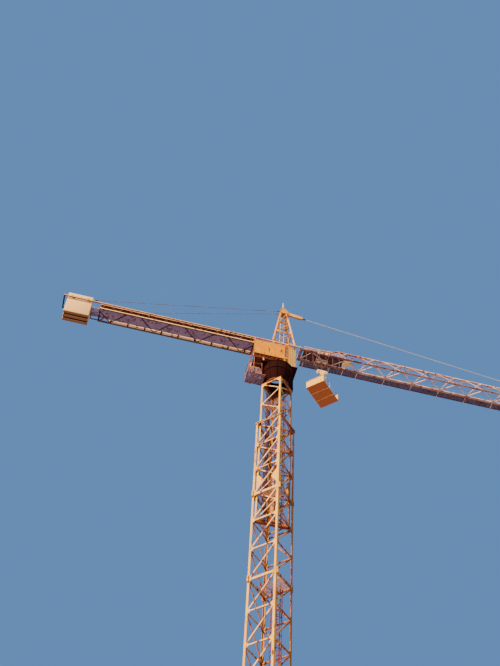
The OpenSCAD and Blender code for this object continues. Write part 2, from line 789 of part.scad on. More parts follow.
module bin_guard() {
    y = -bin_w / 2 + 25;
    color("#dfe6ea") translate([trolley_x, 0, 0]) rotate([0, 0, 45]) {
        r = guard_tube / 2;
        for (x = [-guard_in, -guard_out]) block(x - r, x + r, y - r, y + r, bin_z + 40, bin_top + guard_rise - 10);
        block(-guard_in - r, -guard_out + r, y - r, y + r, bin_top + guard_rise - guard_tube, bin_top + guard_rise);
    }
}

base_plate();
base_cross();
base_shoes();
mast_posts(1);  // mast_posts_1
mast_posts(2);  // mast_posts_2
mast_posts(3);  // mast_posts_3
mast_posts(4);  // mast_posts_4
mast_lacing(1);  // mast_lacing_1
mast_lacing(2);  // mast_lacing_2
mast_lacing(3);  // mast_lacing_3
mast_lacing(4);  // mast_lacing_4
mast_ladder();
mast_guides();
inner_posts();
inner_lacing();
inner_foot_beam();
inner_ladder();
mast_head();
slew_pedestal();
slew_deck();
slew_frame();
service_platform();
sign_panel();
operator_cab();
cathead();
cathead_head();
cathead_rod();
jib_root();
jib_section(1);  // jib_section_1
jib_section(2);  // jib_section_2
jib_section(3);  // jib_section_3
jib_tip();
catwalk();
winch_deck();
hoist_winch();
trolley_winch();
jib_tie();
counter_girder(-1);  // counter_girder_near
counter_girder(1);  // counter_girder_far
counter_bracing();
counter_floor();
counter_ties();
counterweights();
weight_bars();
trolley_frame();
trolley_wheels();
trolley_sheaves();
rope_falls();
hook_block();
block_sheaves();
hook();
slings();
load_bin();
bin_guard();
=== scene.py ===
"""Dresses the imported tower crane: finishes, fine steelwork, ropes, floor, light and camera.

Every length is in metres in the crane's own frame: +X runs along the jib, +Z is up, and the
origin is the middle of the base plate's underside.
"""
import logging
import math
from collections.abc import Callable, Iterable, Sequence
from dataclasses import dataclass, field
from enum import Enum
from itertools import product

import bmesh
import bpy
from mathutils import Matrix, Vector


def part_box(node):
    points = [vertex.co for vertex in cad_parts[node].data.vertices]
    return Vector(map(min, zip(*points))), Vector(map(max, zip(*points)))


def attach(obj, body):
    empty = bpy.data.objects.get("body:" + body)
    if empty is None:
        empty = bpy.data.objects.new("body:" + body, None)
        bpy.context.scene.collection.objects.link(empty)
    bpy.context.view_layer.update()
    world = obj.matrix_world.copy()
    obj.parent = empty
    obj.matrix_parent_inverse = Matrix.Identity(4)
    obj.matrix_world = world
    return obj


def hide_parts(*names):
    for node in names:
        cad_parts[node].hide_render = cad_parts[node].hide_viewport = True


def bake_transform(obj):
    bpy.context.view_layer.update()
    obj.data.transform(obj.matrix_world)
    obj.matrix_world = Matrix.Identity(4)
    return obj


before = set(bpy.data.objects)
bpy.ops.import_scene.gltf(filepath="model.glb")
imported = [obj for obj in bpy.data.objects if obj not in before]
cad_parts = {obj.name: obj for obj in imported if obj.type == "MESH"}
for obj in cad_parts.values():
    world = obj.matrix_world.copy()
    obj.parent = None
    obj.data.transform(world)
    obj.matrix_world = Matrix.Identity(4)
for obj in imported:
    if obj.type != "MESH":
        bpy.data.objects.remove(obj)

LOG = logging.getLogger("crane")
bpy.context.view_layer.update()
UP = Vector((0, 0, 1))
ALONG = Vector((1, 0, 0))
ACROSS = Vector((0, 1, 0))
MM = 0.001
# Faces that meet at less than this angle are shaded as one.
SMOOTH = math.radians(38)
# The mast stands corner-on to the jib.
CORNER_ON = math.radians(45)
QUARTER = math.radians(90)
# The near side of the crane, and the far one.
SIDES = (-1, 1)

Point = Sequence[float]
Socket = bpy.types.NodeSocket
Tree = bpy.types.NodeTree


class Body(Enum):
    """The parts of the crane that move on their own."""

    TOWER = "tower"
    INNER = "inner_mast"
    SLEWING = "slewing_part"
    TROLLEY = "trolley"
    BLOCK = "hook_block"


def low(node: str) -> Vector:
    """The lowest corner of a CAD node."""
    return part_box(node)[0]


def high(node: str) -> Vector:
    """The highest corner of a CAD node."""
    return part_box(node)[1]


def span(node: str) -> tuple[Vector, Vector]:
    """The lowest and the highest corner of a CAD node."""
    return low(node), high(node)


def linear(colour: str) -> tuple[float, float, float, float]:
    """Turns an sRGB hex colour to a linear one.

    Args:
        colour: The colour as #RRGGBB.

    Returns:
        Red, green, blue and a full alpha.
    """
    parts = [int(colour[i:i + 2], 16) / 255 for i in (1, 3, 5)]
    steps = [c / 12.92 if c <= 0.04045 else ((c + 0.055) / 1.055) ** 2.4 for c in parts]
    return (*steps, 1.0)


def add_node(tree: Tree, kind: str, values: dict | None = None) -> bpy.types.Node:
    """Adds a shader node with its settings and its incoming links.

    Args:
        tree: The material's node tree.
        kind: The node's type.
        values: For each property or input of the node, its value or the socket that feeds it.

    Returns:
        The new node.
    """
    node = tree.nodes.new(kind)
    for key, value in (values or {}).items():
        if isinstance(value, Socket):
            tree.links.new(value, node.inputs[key])
        elif isinstance(key, str) and hasattr(node, key):
            setattr(node, key, value)
        else:
            node.inputs[key].default_value = value
    return node


# Finishes


@dataclass(frozen=True)
class Finish:
    """What every finish has: its own name and the record's slot that it answers to."""

    name: str
    slot: str

    def make(self) -> bpy.types.Material:
        """Builds the material once and hands out the same one after that.

        Returns:
            The material.
        """
        found = bpy.data.materials.get(self.name)
        if found is None:
            found = bpy.data.materials.new(self.name)
            found.use_nodes = True
            tree = found.node_tree
            tree.nodes.clear()
            shader = add_node(tree, "ShaderNodeBsdfPrincipled", self.dress(tree))
            add_node(tree, "ShaderNodeOutputMaterial", {"Surface": shader.outputs["BSDF"]})
        return found

    def dress(self, tree: Tree) -> dict[str, float | Socket]:
        """Adds the finish's patterns to its tree and says what each input of the shader takes."""
        raise NotImplementedError


def blotches(tree: Tree, size_mm: float, edge: tuple[float, float], stretch: Point = (1, 1, 1),
             detail: float = 4.0) -> Socket:
    """A soft mask of blotches on the object's own coordinates.

    Args:
        tree: The material's node tree.
        size_mm: The usual width of a blotch.
        edge: The noise values where the mask starts and where it is full.
        stretch: How much finer the noise is along each axis.
        detail: How ragged the blotches are.

    Returns:
        The mask, from 0 to 1.
    """
    place = add_node(tree, "ShaderNodeTexCoord").outputs["Object"]
    turned = add_node(tree, "ShaderNodeMapping", {"Scale": stretch, "Vector": place}).outputs["Vector"]
    noise = add_node(tree, "ShaderNodeTexNoise", {
        "Scale": 1 / (size_mm * MM), "Detail": detail, "Vector": turned})
    mask = add_node(tree, "ShaderNodeMapRange", {"From Min": edge[0], "From Max": edge[1],
                                                 "Value": noise.outputs["Fac"]})
    return mask.outputs["Result"]


def facing_down(tree: Tree, share: float) -> Socket:
    """A mask of the surfaces that face the ground: partly dirt that rain never washes off, partly painted
    shade on the undersides.

    Args:
        tree: The material's node tree.
        share: How full the mask is on a level underside.

    Returns:
        The mask.
    """
    normal = add_node(tree, "ShaderNodeNewGeometry").outputs["Normal"]
    parts = add_node(tree, "ShaderNodeSeparateXYZ", {"Vector": normal})
    mask = add_node(tree, "ShaderNodeMapRange", {"From Min": 0.05, "From Max": -0.8, "To Max": share,
                                                 "Value": parts.outputs["Z"]})
    return mask.outputs["Result"]


def shaded_side(tree: Tree, share: float) -> Socket:
    """A mask of the mast's side that turns from the light, where painted shade is laid.

    Args:
        tree: The material's node tree.
        share: How full the mask is on that side.

    Returns:
        The mask, from the mast's middle outwards.
    """
    place = add_node(tree, "ShaderNodeTexCoord").outputs["Object"]
    away = add_node(tree, "ShaderNodeVectorMath", {"operation": "DOT_PRODUCT", 0: place, 1: (1, 0.6, 0)})
    mask = add_node(tree, "ShaderNodeMapRange", {"From Min": -0.25, "From Max": 0.75, "To Max": share,
                                                 "Value": away.outputs["Value"]})
    return mask.outputs["Result"]


def layered(tree: Tree, coat: str, *layers: tuple[str, Socket]) -> Socket:
    """Lays colours over a coat, each through its own mask.

    Args:
        tree: The material's node tree.
        coat: The colour underneath.
        layers: Each colour above it with its mask, in the order that they were laid.

    Returns:
        The colour of the whole surface.
    """
    colour = linear(coat)
    for shade, mask in layers:
        mixed = add_node(tree, "ShaderNodeMix", {"data_type": "RGBA", 0: mask, 6: colour, 7: linear(shade)})
        colour = mixed.outputs[2]
    return colour


@dataclass(frozen=True)
class WornEnamel(Finish):
    """Machine enamel brushed on steel.

    Sun has made it chalky in broad patches, and rust runs down from its joints. What faces the
    ground is browner: partly a film of dirt, partly painted shade on the undersides. On the mast,
    the side that turns from the light takes a red brown, which is painted shade. It gives the
    eye a dull sheen that breaks up over the rust.
    """

    coat: str
    faded: str
    rust: str = "#7C3B20"
    # The undersides' colour: partly a film of dirt, partly painted shade.
    grime_and_shade: str = "#7A4426"
    patch_mm: float = 900
    run_mm: float = 170
    rust_share: float = 0.3
    grime_and_shade_share: float = 0.5
    roughness: float = 0.5
    gloss: float = 0.3
    # The colour of the painted shade on the mast's side that turns from the light.
    dust_and_shade: str = "#8A4636"
    side_shade_share: float = 0.0

    def dress(self, tree: Tree) -> dict[str, float | Socket]:
        """Lays chalk, painted shade on the mast's shaded side, dirt with painted shade on the undersides,
        rust runs and bare chips over the coat.

        Args:
            tree: The material's node tree.

        Returns:
            What each input of the shader takes.
        """
        start = 0.66 - 0.28 * self.rust_share
        runs = blotches(tree, self.run_mm, (start, start + 0.07), (1, 1, 0.25), 6)
        chips = blotches(tree, 14, (0.60, 0.63), detail=3)
        faded = blotches(tree, self.patch_mm, (0.4, 0.62))
        bare = add_node(tree, "ShaderNodeMath", {"operation": "MULTIPLY", 0: chips, 1: faded}).outputs[0]
        # The undersides take the grime colour: dirt, and painted shade as well.
        layers = [(self.faded, faded), (self.grime_and_shade, facing_down(tree, self.grime_and_shade_share)), (self.rust, runs),
                  (self.rust, bare)]
        # Painted shade on the side of the mast that turns from the light.
        if self.side_shade_share:
            layers.insert(1, (self.dust_and_shade, shaded_side(tree, self.side_shade_share)))
        dull = add_node(tree, "ShaderNodeMapRange", {"To Min": self.roughness, "To Max": 0.9, "Value": runs})
        flakes = add_node(tree, "ShaderNodeBump", {"Strength": 0.6, "Distance": 0.8 * MM, "Height": runs})
        return {"Base Color": layered(tree, self.coat, *layers), "Specular IOR Level": self.gloss,
                "Roughness": dull.outputs["Result"], "Normal": flakes.outputs["Normal"]}


@dataclass(frozen=True)
class CastConcrete(Finish):
    """Concrete cast in a steel mould: pale skin, dark air pores, damp stains, a sandy bump and painted shade
    below.
    """

    skin: str = "#FFDFA4"
    stain: str = "#F8D090"
    pore: str = "#9A7450"
    # The slabs' undersides: painted shade.
    under: str = "#8E5430"

    def dress(self, tree: Tree) -> dict[str, float | Socket]:
        """Lays stains, the painted shade of the underside and pores over the skin.

        Args:
            tree: The material's node tree.

        Returns:
            What each input of the shader takes.
        """
        stains = blotches(tree, 600, (0.5, 0.75), (1, 1, 0.4), 5)
        pores = blotches(tree, 22, (0.64, 0.68), detail=2)
        colour = layered(tree, self.skin, (self.stain, stains), (self.under, facing_down(tree, 0.95)),
                         (self.pore, pores))
        pits = add_node(tree, "ShaderNodeBump", {"Strength": 0.6, "Distance": 3 * MM, "invert": True,
                                                 "Height": pores})
        return {"Base Color": colour, "Roughness": 0.88, "Normal": pits.outputs["Normal"]}


@dataclass(frozen=True)
class WireRope(Finish):
    """Greased steel wire rope: grey crowns of the strands with dark grease between them.

    The strands of a thin rope are drawn every 40 mm, several times their real lay, so that they show.
    """

    crown: str = "#8C8A84"
    grease: str = "#2E2A26"
    lay_mm: float = 40

    def dress(self, tree: Tree) -> dict[str, float | Socket]:
        """Slants bands of grease round the rope.

        Args:
            tree: The material's node tree.

        Returns:
            What each input of the shader takes.
        """
        # A wave of scale 0.314 repeats once a metre.
        place = add_node(tree, "ShaderNodeTexCoord").outputs["Object"]
        bands = add_node(tree, "ShaderNodeTexWave", {
            "bands_direction": "DIAGONAL", "Distortion": 0.6, "Scale": 0.314 / (self.lay_mm * MM),
            "Vector": place}).outputs["Fac"]
        lay = add_node(tree, "ShaderNodeBump", {
            "Strength": 0.6, "Distance": MM, "invert": True, "Height": bands})
        return {"Base Color": layered(tree, self.crown, (self.grease, bands)), "Metallic": 0.7,
                "Roughness": 0.42, "Normal": lay.outputs["Normal"]}


@dataclass(frozen=True)
class OiledSteel(Finish):
    """Forged or machined steel under old oil: dark, metallic, with dusty dull patches."""

    metal: str = "#5A5550"
    dust_and_shade: str = "#8A6A4A"
    roughness: float = 0.38
    metallic: float = 0.85

    def dress(self, tree: Tree) -> dict[str, float | Socket]:
        """Dusts the metal in patches.

        Args:
            tree: The material's node tree.

        Returns:
            What each input of the shader takes.
        """
        dusty = blotches(tree, 120, (0.45, 0.68))
        dull = add_node(tree, "ShaderNodeMapRange", {
            "To Min": self.roughness, "To Max": 0.8, "Value": dusty})
        film = add_node(tree, "ShaderNodeMapRange", {"To Min": self.metallic, "To Max": 0.1, "Value": dusty})
        crust = add_node(tree, "ShaderNodeBump", {"Strength": 0.6, "Distance": 0.3 * MM, "Height": dusty})
        return {"Base Color": layered(tree, self.metal, (self.dust_and_shade, dusty)),
                "Roughness": dull.outputs["Result"],
                "Metallic": film.outputs["Result"], "Normal": crust.outputs["Normal"]}


@dataclass(frozen=True)
class CabGlass(Finish):
    """Laminated cab glass with a film of site dust, clear where the wiper reaches."""

    tint: str = "#C8A890"
    dust_and_shade: str = "#A87A50"

    def dress(self, tree: Tree) -> dict[str, float | Socket]:
        """Lets light through a thin tint and roughens it where dust lies.

        Args:
            tree: The material's node tree.

        Returns:
            What each input of the shader takes.
        """
        dusty = blotches(tree, 260, (0.42, 0.7))
        haze = add_node(tree, "ShaderNodeMapRange", {"To Min": 0.04, "To Max": 0.45, "Value": dusty})
        return {"Base Color": layered(tree, self.tint, (self.dust_and_shade, dusty)),
                "Roughness": haze.outputs["Result"],
                "Transmission Weight": 0.55, "IOR": 1.5}


@dataclass(frozen=True)
class PaleFloor(Finish):
    """A plain matt studio floor with a trace of mottling."""

    tone: str = "#DAD8D4"
    trace: str = "#D2D0CC"

    def dress(self, tree: Tree) -> dict[str, float | Socket]:
        """Paints the floor one pale tone."""
        return {"Base Color": layered(tree, self.tone, (self.trace, blotches(tree, 1500, (0.3, 0.7)))),
                "Roughness": 0.9}


# The jack is pinkish brown where the oil has dried on its primer.
JACK_BROWN = WornEnamel("oiled brown enamel on the climbing jack", "red_oxide", "#A8705A", "#C8967C",
                        rust="#6A3626", grime_and_shade="#7A4838", rust_share=0.3, patch_mm=300, roughness=0.4)
# The service platform was left in a rusty brown.
PLATFORM_BROWN = WornEnamel("brown enamel on the service platform", "red_oxide", "#8E5848", "#B07C6C",
                            rust="#5A2A20", grime_and_shade="#5A3430", rust_share=0.4, patch_mm=500, roughness=0.6)
# Sun-bleached cream on the mast's angles: bright where the light rakes them. Their side that turns from the
# light is painted in shade.
MAST_CREAM = WornEnamel("chalky cream enamel on mast angles", "mast_paint", "#EAB83A", "#FAD65E",
                        rust_share=0.2, grime_and_shade_share=0.7, side_shade_share=0.75)
# The lacing was left browner than the posts, with rust at every weld. Its side that turns from the light is
# painted in shade too.
LACING_OCHRE = WornEnamel("ochre enamel on lacing bars", "lacing_paint", "#DEB27C", "#F4D6AA",
                          rust_share=0.42, grime_and_shade_share=0.75, side_shade_share=0.8)
# Matt primer that never had a top coat.
RED_OXIDE = WornEnamel("red oxide primer on lifting gear", "red_oxide", "#7A3420", "#94503A",
                       rust="#4A2016", grime_and_shade="#4A1E14", rust_share=0.4, roughness=0.7)
# The slewing gear's maroon is darkened almost to black: painted shade, for the pedestal in the shadow under
# the deck.
# The same near-black stands in for shade on the dark sheets, boards and plates that take it.
MAROON_WITH_PAINTED_SHADE = WornEnamel("maroon enamel with painted shade on the slewing gear", "red_oxide", "#1E060C", "#2C0A12",
                    rust="#2A0A0A", grime_and_shade="#1C060C", rust_share=0.35, roughness=0.85, gloss=0.1)
# The brightest coat of the crane, touched up more often than the rest.
PANEL_YELLOW = WornEnamel("mustard enamel on cab and panels", "panel_yellow", "#DC920A", "#E8AC1C",
                          grime_and_shade="#9A6A2C", rust_share=0.12, grime_and_shade_share=0.6, patch_mm=500, run_mm=110,
                          roughness=0.42, gloss=0.15)
# The cab's corner panel and the trolley winch housing are a paler yellow than the cab: painted light, on
# faces that the light falls on.
PALE_YELLOW_WITH_PAINTED_LIGHT = WornEnamel("pale yellow enamel with painted light", "panel_yellow", "#FDDE88", "#FFF0B8",
                       grime_and_shade="#C09850", rust_share=0.1, grime_and_shade_share=0.4, patch_mm=500, run_mm=110,
                       roughness=0.42)
# Red-brown undercoat with the cream top coat worn through.
JIB_RED = WornEnamel("worn cream over red brown on the jib", "jib_paint", "#C49C90", "#E8CEC4",
                     rust="#7A3430", grime_and_shade="#7C4440", rust_share=0.36, grime_and_shade_share=0.5, patch_mm=600)
# At the jib's root most of the top coat has gone.
ROOT_BROWN = WornEnamel("red brown undercoat at the jib's root", "jib_paint", "#A46454", "#E0B29C",
                        rust="#5E2A26", grime_and_shade="#5A302E", rust_share=0.45, grime_and_shade_share=0.7, patch_mm=500)
# The winch deck carries a film of oil and dust.
DECK_MAROON = WornEnamel("oily maroon enamel on the winch deck", "red_oxide", "#4A2830", "#6A444C",
                         rust="#3A1A1C", grime_and_shade="#3E222A", rust_share=0.4, patch_mm=300, roughness=0.6)
# Cream on the jib's flat bracing, rails and brackets, made paler than the jib's cream as painted light where
# the sun catches them.
JIB_CREAM_WITH_PAINTED_LIGHT = WornEnamel("cream enamel with painted light on the jib's flat bracing", "jib_paint", "#EAD2C0", "#FAECE0",
                      rust="#8A5048", grime_and_shade="#C8A498", rust_share=0.3, patch_mm=500)
HEAD_OCHRE = WornEnamel("ochre enamel on the tower head", "lacing_paint", "#D69A40", "#F0C26C",
                        rust="#8A4420", rust_share=0.4, patch_mm=700, grime_and_shade_share=0.8)
GIRDER_OCHRE = WornEnamel("ochre enamel on the girders and frame", "lacing_paint", "#D8A470", "#F0CCA2",
                          rust="#8A4420", rust_share=0.36, patch_mm=800, grime_and_shade_share=0.7)
# The girders' lacing is dark brown: a brown undercoat darkened as painted shade for the dense, shadowed
# lacing. Only their flanges and boards are cream.
GIRDER_BROWN_AND_SHADE = WornEnamel("brown undercoat and painted shade on the girders' lacing", "lacing_paint", "#6E3E2E", "#8E5A44",
                          rust="#5A2A1E", grime_and_shade="#4A2822", rust_share=0.4, patch_mm=500, grime_and_shade_share=0.6)
GIRDER_CREAM = WornEnamel("cream enamel on the far girder", "mast_paint", "#F8D49E", "#FEE8C0",
                          rust_share=0.2, grime_and_shade_share=0.3)
# Dull zinc on open floors, purple grey: the purple is painted shade, for floors seen from below in their own
# shadow.
DECK_GREY_AND_SHADE = WornEnamel("weathered galvanising and painted shade on gratings", "grating", "#947C9C", "#AA96B0",
                       rust="#704C60", grime_and_shade="#866C8A", rust_share=0.4, patch_mm=350, roughness=0.6)
# The jib's catwalk is rustier and darker than the other floors.
CATWALK_BROWN = WornEnamel("rusty galvanising on the catwalk", "grating", "#5C3E4A", "#745864",
                           rust="#542E30", grime_and_shade="#48303C", rust_share=0.5, patch_mm=350, roughness=0.6)
CREAM_ENAMEL = WornEnamel("cream enamel on hook block and sheaves", "cream_paint", "#F6DCA0", "#FBEBC2",
                          grime_and_shade="#B88458", rust_share=0.2, patch_mm=300, run_mm=80)
WHITE_ENAMEL = WornEnamel("white enamel on rod and rails", "white_paint", "#EDEAE0", "#F7F5EE",
                          grime_and_shade="#B8A898", rust_share=0.12, patch_mm=300, run_mm=80)
GUARD_BLUE = WornEnamel("pale blue enamel on the bin's guard", "white_paint", "#A9C0DA", "#C9D8E8",
                        grime_and_shade="#8A98A8", rust_share=0.12, patch_mm=300, run_mm=80)
# The bin's underside takes the brown grime colour almost wholly: dirt and painted shade.
BIN_CREAM = WornEnamel("cream enamel on the load bin", "cream_paint", "#F8CE30", "#FBDC54",
                       rust="#9A5A34", grime_and_shade="#B05834", rust_share=0.14, grime_and_shade_share=0.97, patch_mm=500)
WINCH_GREY = WornEnamel("machine grey enamel on the winch", "machine_grey", "#3E3A3C", "#54504E",
                        rust="#4A2A22", rust_share=0.3, patch_mm=200, run_mm=60, roughness=0.4)
CONCRETE = CastConcrete("steel moulded ballast concrete", "concrete")
# The jib's tie catches the light as one bright line.
TIE_BRIGHT = OiledSteel("galvanised tie of the jib", "rope_steel", "#D4D8DC", "#B8B0A4", 0.4, 0.25)
TIE_STEEL = OiledSteel("bare drawn steel of the ties", "rope_steel", "#8C7F70", "#C9A06A", 0.4, 0.6)
ROPE_STEEL = WireRope("greased hoist rope", "rope_steel")
DARK_STEEL = OiledSteel("oiled forged steel", "dark_steel")
BOLT_STEEL = OiledSteel("dull zinc plated fasteners", "galvanised_dark", "#8A8478", "#9A7048", 0.5, 0.7)
CAB_GLASS = CabGlass("dusty laminated glass", "dark_steel")
RUBBER = OiledSteel("black window rubber", "dark_steel", "#1E1C1A", "#4A4036", 0.6, 0.0)


# Shaping


def square_to(start: Vector, end: Vector, turn: float = 0.0) -> Matrix:
    """A frame halfway between two points with its Z along them.

    Args:
        start: The first point.
        end: The second point.
        turn: How far the frame is turned about its own Z, in radians.

    Returns:
        The frame's matrix.
    """
    spin = (end - start).to_track_quat("Z", "Y").to_matrix().to_4x4()
    return Matrix.Translation((start + end) / 2) @ spin @ Matrix.Rotation(turn, 4, "Z")


def upright(place: Point, turn: float = 0.0) -> Matrix:
    """A frame for a standing plate: its X lies level, its Y is up and its Z faces -Y, then all is turned."""
    return Matrix.Rotation(turn, 4, "Z") @ Matrix.Translation(place) @ Matrix.Rotation(QUARTER, 4, "X")


def mast_side(k: int) -> float:
    """How far side k of the mast is turned."""
    return CORNER_ON + k * QUARTER


def edges_of(verts: Iterable[bmesh.types.BMVert]) -> list[bmesh.types.BMEdge]:
    """Every edge that meets the vertices, once and always in the same order."""
    return list(dict.fromkeys(edge for vert in verts for edge in vert.link_edges))


@dataclass
class Piece:
    """One piece of the crane while it is being shaped."""

    name: str
    finish: Finish
    body: Body = Body.SLEWING
    mesh: bmesh.types.BMesh = field(default_factory=bmesh.new)

    def soften(self, edges: list[bmesh.types.BMEdge], width: float, segments: int = 1) -> None:
        """Bevels the edges, if the bevel has a width."""
        if width:
            bmesh.ops.bevel(self.mesh, geom=edges, offset=width, segments=segments, profile=0.5,
                            affect="EDGES", material=-1, clamp_overlap=True)

    def brick(self, first: Point, last: Point, bevel: float = 0.0, segments: int = 1) -> None:
        """Adds a box.

        Args:
            first: One corner.
            last: The corner across from it.
            bevel: Width of its softened edges.
            segments: Faces across a softened edge.
        """
        a, b = Vector(first), Vector(last)
        place = Matrix.Translation((a + b) / 2) @ Matrix.Diagonal((*(abs(d) for d in b - a), 1))
        verts = bmesh.ops.create_cube(self.mesh, size=1, matrix=place)["verts"]
        self.soften(edges_of(verts), bevel, segments)

    def beam(self, start: Point, end: Point, width: float, depth: float | None = None,
             bevel: float = 0.0, turn: float = 0.0) -> None:
        """Adds a flat-sided bar between two points.

        Args:
            start: The middle of one end.
            end: The middle of the other.
            width: How wide the bar is across.
            depth: How deep it is upwards, or None for a square bar.
            bevel: Width of its softened edges.
            turn: How far it is turned about its own length, in radians.
        """
        a, b = Vector(start), Vector(end)
        size = Matrix.Diagonal((width, depth or width, (b - a).length, 1))
        verts = bmesh.ops.create_cube(self.mesh, size=1, matrix=square_to(a, b, turn) @ size)["verts"]
        self.soften(edges_of(verts), bevel)

    def chain(self, points: Sequence[Point], width: float, depth: float, bevel: float = 0.0) -> None:
        """Adds a bar from each point to the next, as beam() does."""
        for start, end in zip(points, points[1:]):
            self.beam(start, end, width, depth, bevel)

    def row(self, shape: Callable[..., None], count: int, step: Point, start: Point, end: Point,
            *sizes: float) -> None:
        """Adds equal shapes in a row.

        Args:
            shape: The method that adds one of them between two points.
            count: How many there are.
            step: The way from one to the next.
            start: The first point of the first one.
            end: Its second point.
            sizes: What else the method takes.
        """
        for shift in (Vector(step) * k for k in range(count)):
            shape(Vector(start) + shift, Vector(end) + shift, *sizes)

    def rod(self, start: Point, end: Point, radius: float, sides: int = 12,
            end_radius: float | None = None, bevel: float = 0.0) -> None:
        """Adds a round or many-sided bar between two points.

        Args:
            start: The middle of one end.
            end: The middle of the other.
            radius: Its radius, or that of its start.
            sides: Faces round it.
            end_radius: The radius of its end, where that is another one.
            bevel: Width of its softened rims.
        """
        a, b = Vector(start), Vector(end)
        verts = bmesh.ops.create_cone(self.mesh, cap_ends=True, segments=sides, radius1=radius,
                                      radius2=radius if end_radius is None else end_radius,
                                      depth=(b - a).length, matrix=square_to(a, b))["verts"]
        if bevel:
            self.soften([e for e in edges_of(verts) if any(len(f.verts) > 4 for f in e.link_faces)], bevel)

    def pin(self, centre: Point, half: float, radius: float, nut: tuple[float, float, float],
            sides: int = 14) -> None:
        """Adds a pin across the jib with a hexagon nut at both ends.

        Args:
            centre: The middle of the pin.
            half: Half its length.
            radius: Its radius.
            nut: How far from the middle a nut starts and ends, and its radius.
            sides: Faces round the pin.
        """
        middle = Vector(centre)
        self.rod(middle - ACROSS * half, middle + ACROSS * half, radius, sides)
        for s in SIDES:
            self.rod(middle + ACROSS * s * nut[0], middle + ACROSS * s * nut[1], nut[2], 6)

    def plate(self, outline: Iterable[tuple[float, float]], thickness: float, place: Matrix,
              bevel: float = 0.0) -> None:
        """Adds a flat plate.

        Args:
            outline: Its corners in the XY plane of its frame.
            thickness: How thick it is, half of it on each side of that plane.
            place: The frame.
            bevel: Width of its softened edges.
        """
        corners = [self.mesh.verts.new(place @ Vector((x, y, -thickness / 2))) for x, y in outline]
        face = self.mesh.faces.new(corners)
        grown = bmesh.ops.extrude_face_region(self.mesh, geom=[face])["geom"]
        top = [part for part in grown if isinstance(part, bmesh.types.BMVert)]
        bmesh.ops.translate(self.mesh, verts=top, vec=place.to_3x3() @ Vector((0, 0, thickness)))
        self.soften(edges_of(corners + top), bevel)

    def turned(self, profile: Sequence[tuple[float, float]], centre: Point, axis: Vector,
               steps: int = 32, loop: bool = False) -> None:
        """Adds a shape turned on a lathe.

        Args:
            profile: Radius and height of each point, from one end of the axis to the other.
            centre: Where height 0 lies on the axis.
            axis: The direction of the axis.
            steps: Faces round the shape.
            loop: Whether the profile closes on itself, as a ring's does.
        """
        known = len(self.mesh.verts)
        place = Matrix.Translation(centre) @ axis.to_track_quat("Z", "Y").to_matrix().to_4x4()
        verts = [self.mesh.verts.new(place @ Vector((r, 0, h))) for r, h in profile]
        ends = verts[1:] + verts[:1] if loop else verts[1:]
        edges = [self.mesh.edges.new(pair) for pair in zip(verts, ends)]
        bmesh.ops.spin(self.mesh, geom=verts + edges, cent=centre, axis=axis, dvec=(0, 0, 0),
                       angle=math.tau, steps=steps, use_merge=True, use_duplicate=False)
        bmesh.ops.remove_doubles(self.mesh, verts=list(self.mesh.verts)[known:], dist=0.00002)

    def ring(self, centre: Point, axis: Vector, radius: float, wire: float, steps: int = 28) -> None:
        """Adds a round ring of round wire.

        Args:
            centre: The middle of the ring.
            axis: The direction through its hole.
            radius: From its middle to the middle of the wire.
            wire: Radius of the wire.
            steps: Faces round the ring.
        """
        turns = [math.tau * k / 10 for k in range(10)]
        profile = [(radius + wire * math.cos(t), wire * math.sin(t)) for t in turns]
        self.turned(profile, centre, axis, steps, True)

    def hose(self, points: Iterable[Point], radius: float | Sequence[float], sides: int = 8) -> None:
        """Adds a round bar swept through points.

        Args:
            points: The middle of the bar, in order.
            radius: One radius, or one for each point.
            sides: Faces round the bar.
        """
        path = [Vector(p) for p in points]
        radii = [radius] * len(path) if isinstance(radius, float) else list(radius)
        heading = (path[1] - path[0]).normalized()
        turn = heading.to_track_quat("Z", "Y")
        place = Matrix.Translation(path[0]) @ turn.to_matrix().to_4x4()
        rim = bmesh.ops.create_circle(self.mesh, cap_ends=True, radius=radii[0], segments=sides,
                                      matrix=place)["verts"]
        edges = edges_of(rim)
        for k in range(1, len(path)):
            ahead = (path[min(k + 1, len(path) - 1)] - path[k - 1]).normalized()
            turn = heading.rotation_difference(ahead) @ turn
            grow = Matrix.Scale(radii[k] / radii[k - 1], 4)
            target = Matrix.Translation(path[k]) @ turn.to_matrix().to_4x4()
            made = bmesh.ops.extrude_edge_only(self.mesh, edges=edges)["geom"]
            rim = [part for part in made if isinstance(part, bmesh.types.BMVert)]
            edges = [part for part in made if isinstance(part, bmesh.types.BMEdge)
                     and part.verts[0] in rim and part.verts[1] in rim]
            bmesh.ops.transform(self.mesh, matrix=target @ grow @ place.inverted(), verts=rim)
            place, heading = target, ahead
        bmesh.ops.edgeloop_fill(self.mesh, edges=edges)

    def strands(self, start: Point, end: Point, wire: float, lay: float, count: int = 3,
                steps: int = 10) -> None:
        """Adds wires that are laid round each other between two points.

        Args:
            start: Where the rope starts.
            end: Where it ends.
            wire: Radius of one wire.
            lay: Length of one turn.
            count: Number of wires.
            steps: Points for each turn.
        """
        a, b = Vector(start), Vector(end)
        place = square_to(a, b)
        length = (b - a).length
        # The wires lie a little apart, so that they never cut into each other.
        out = wire * 1.15
        rings = max(2, round(steps * length / lay))
        for strand in range(count):
            path = []
            for share in (k / rings for k in range(rings + 1)):
                turn = math.tau * (length * share / lay + strand / count)
                around = Vector((out * math.cos(turn), out * math.sin(turn), length * (share - 0.5)))
                path.append(place @ around)
            self.hose(path, wire, 6)

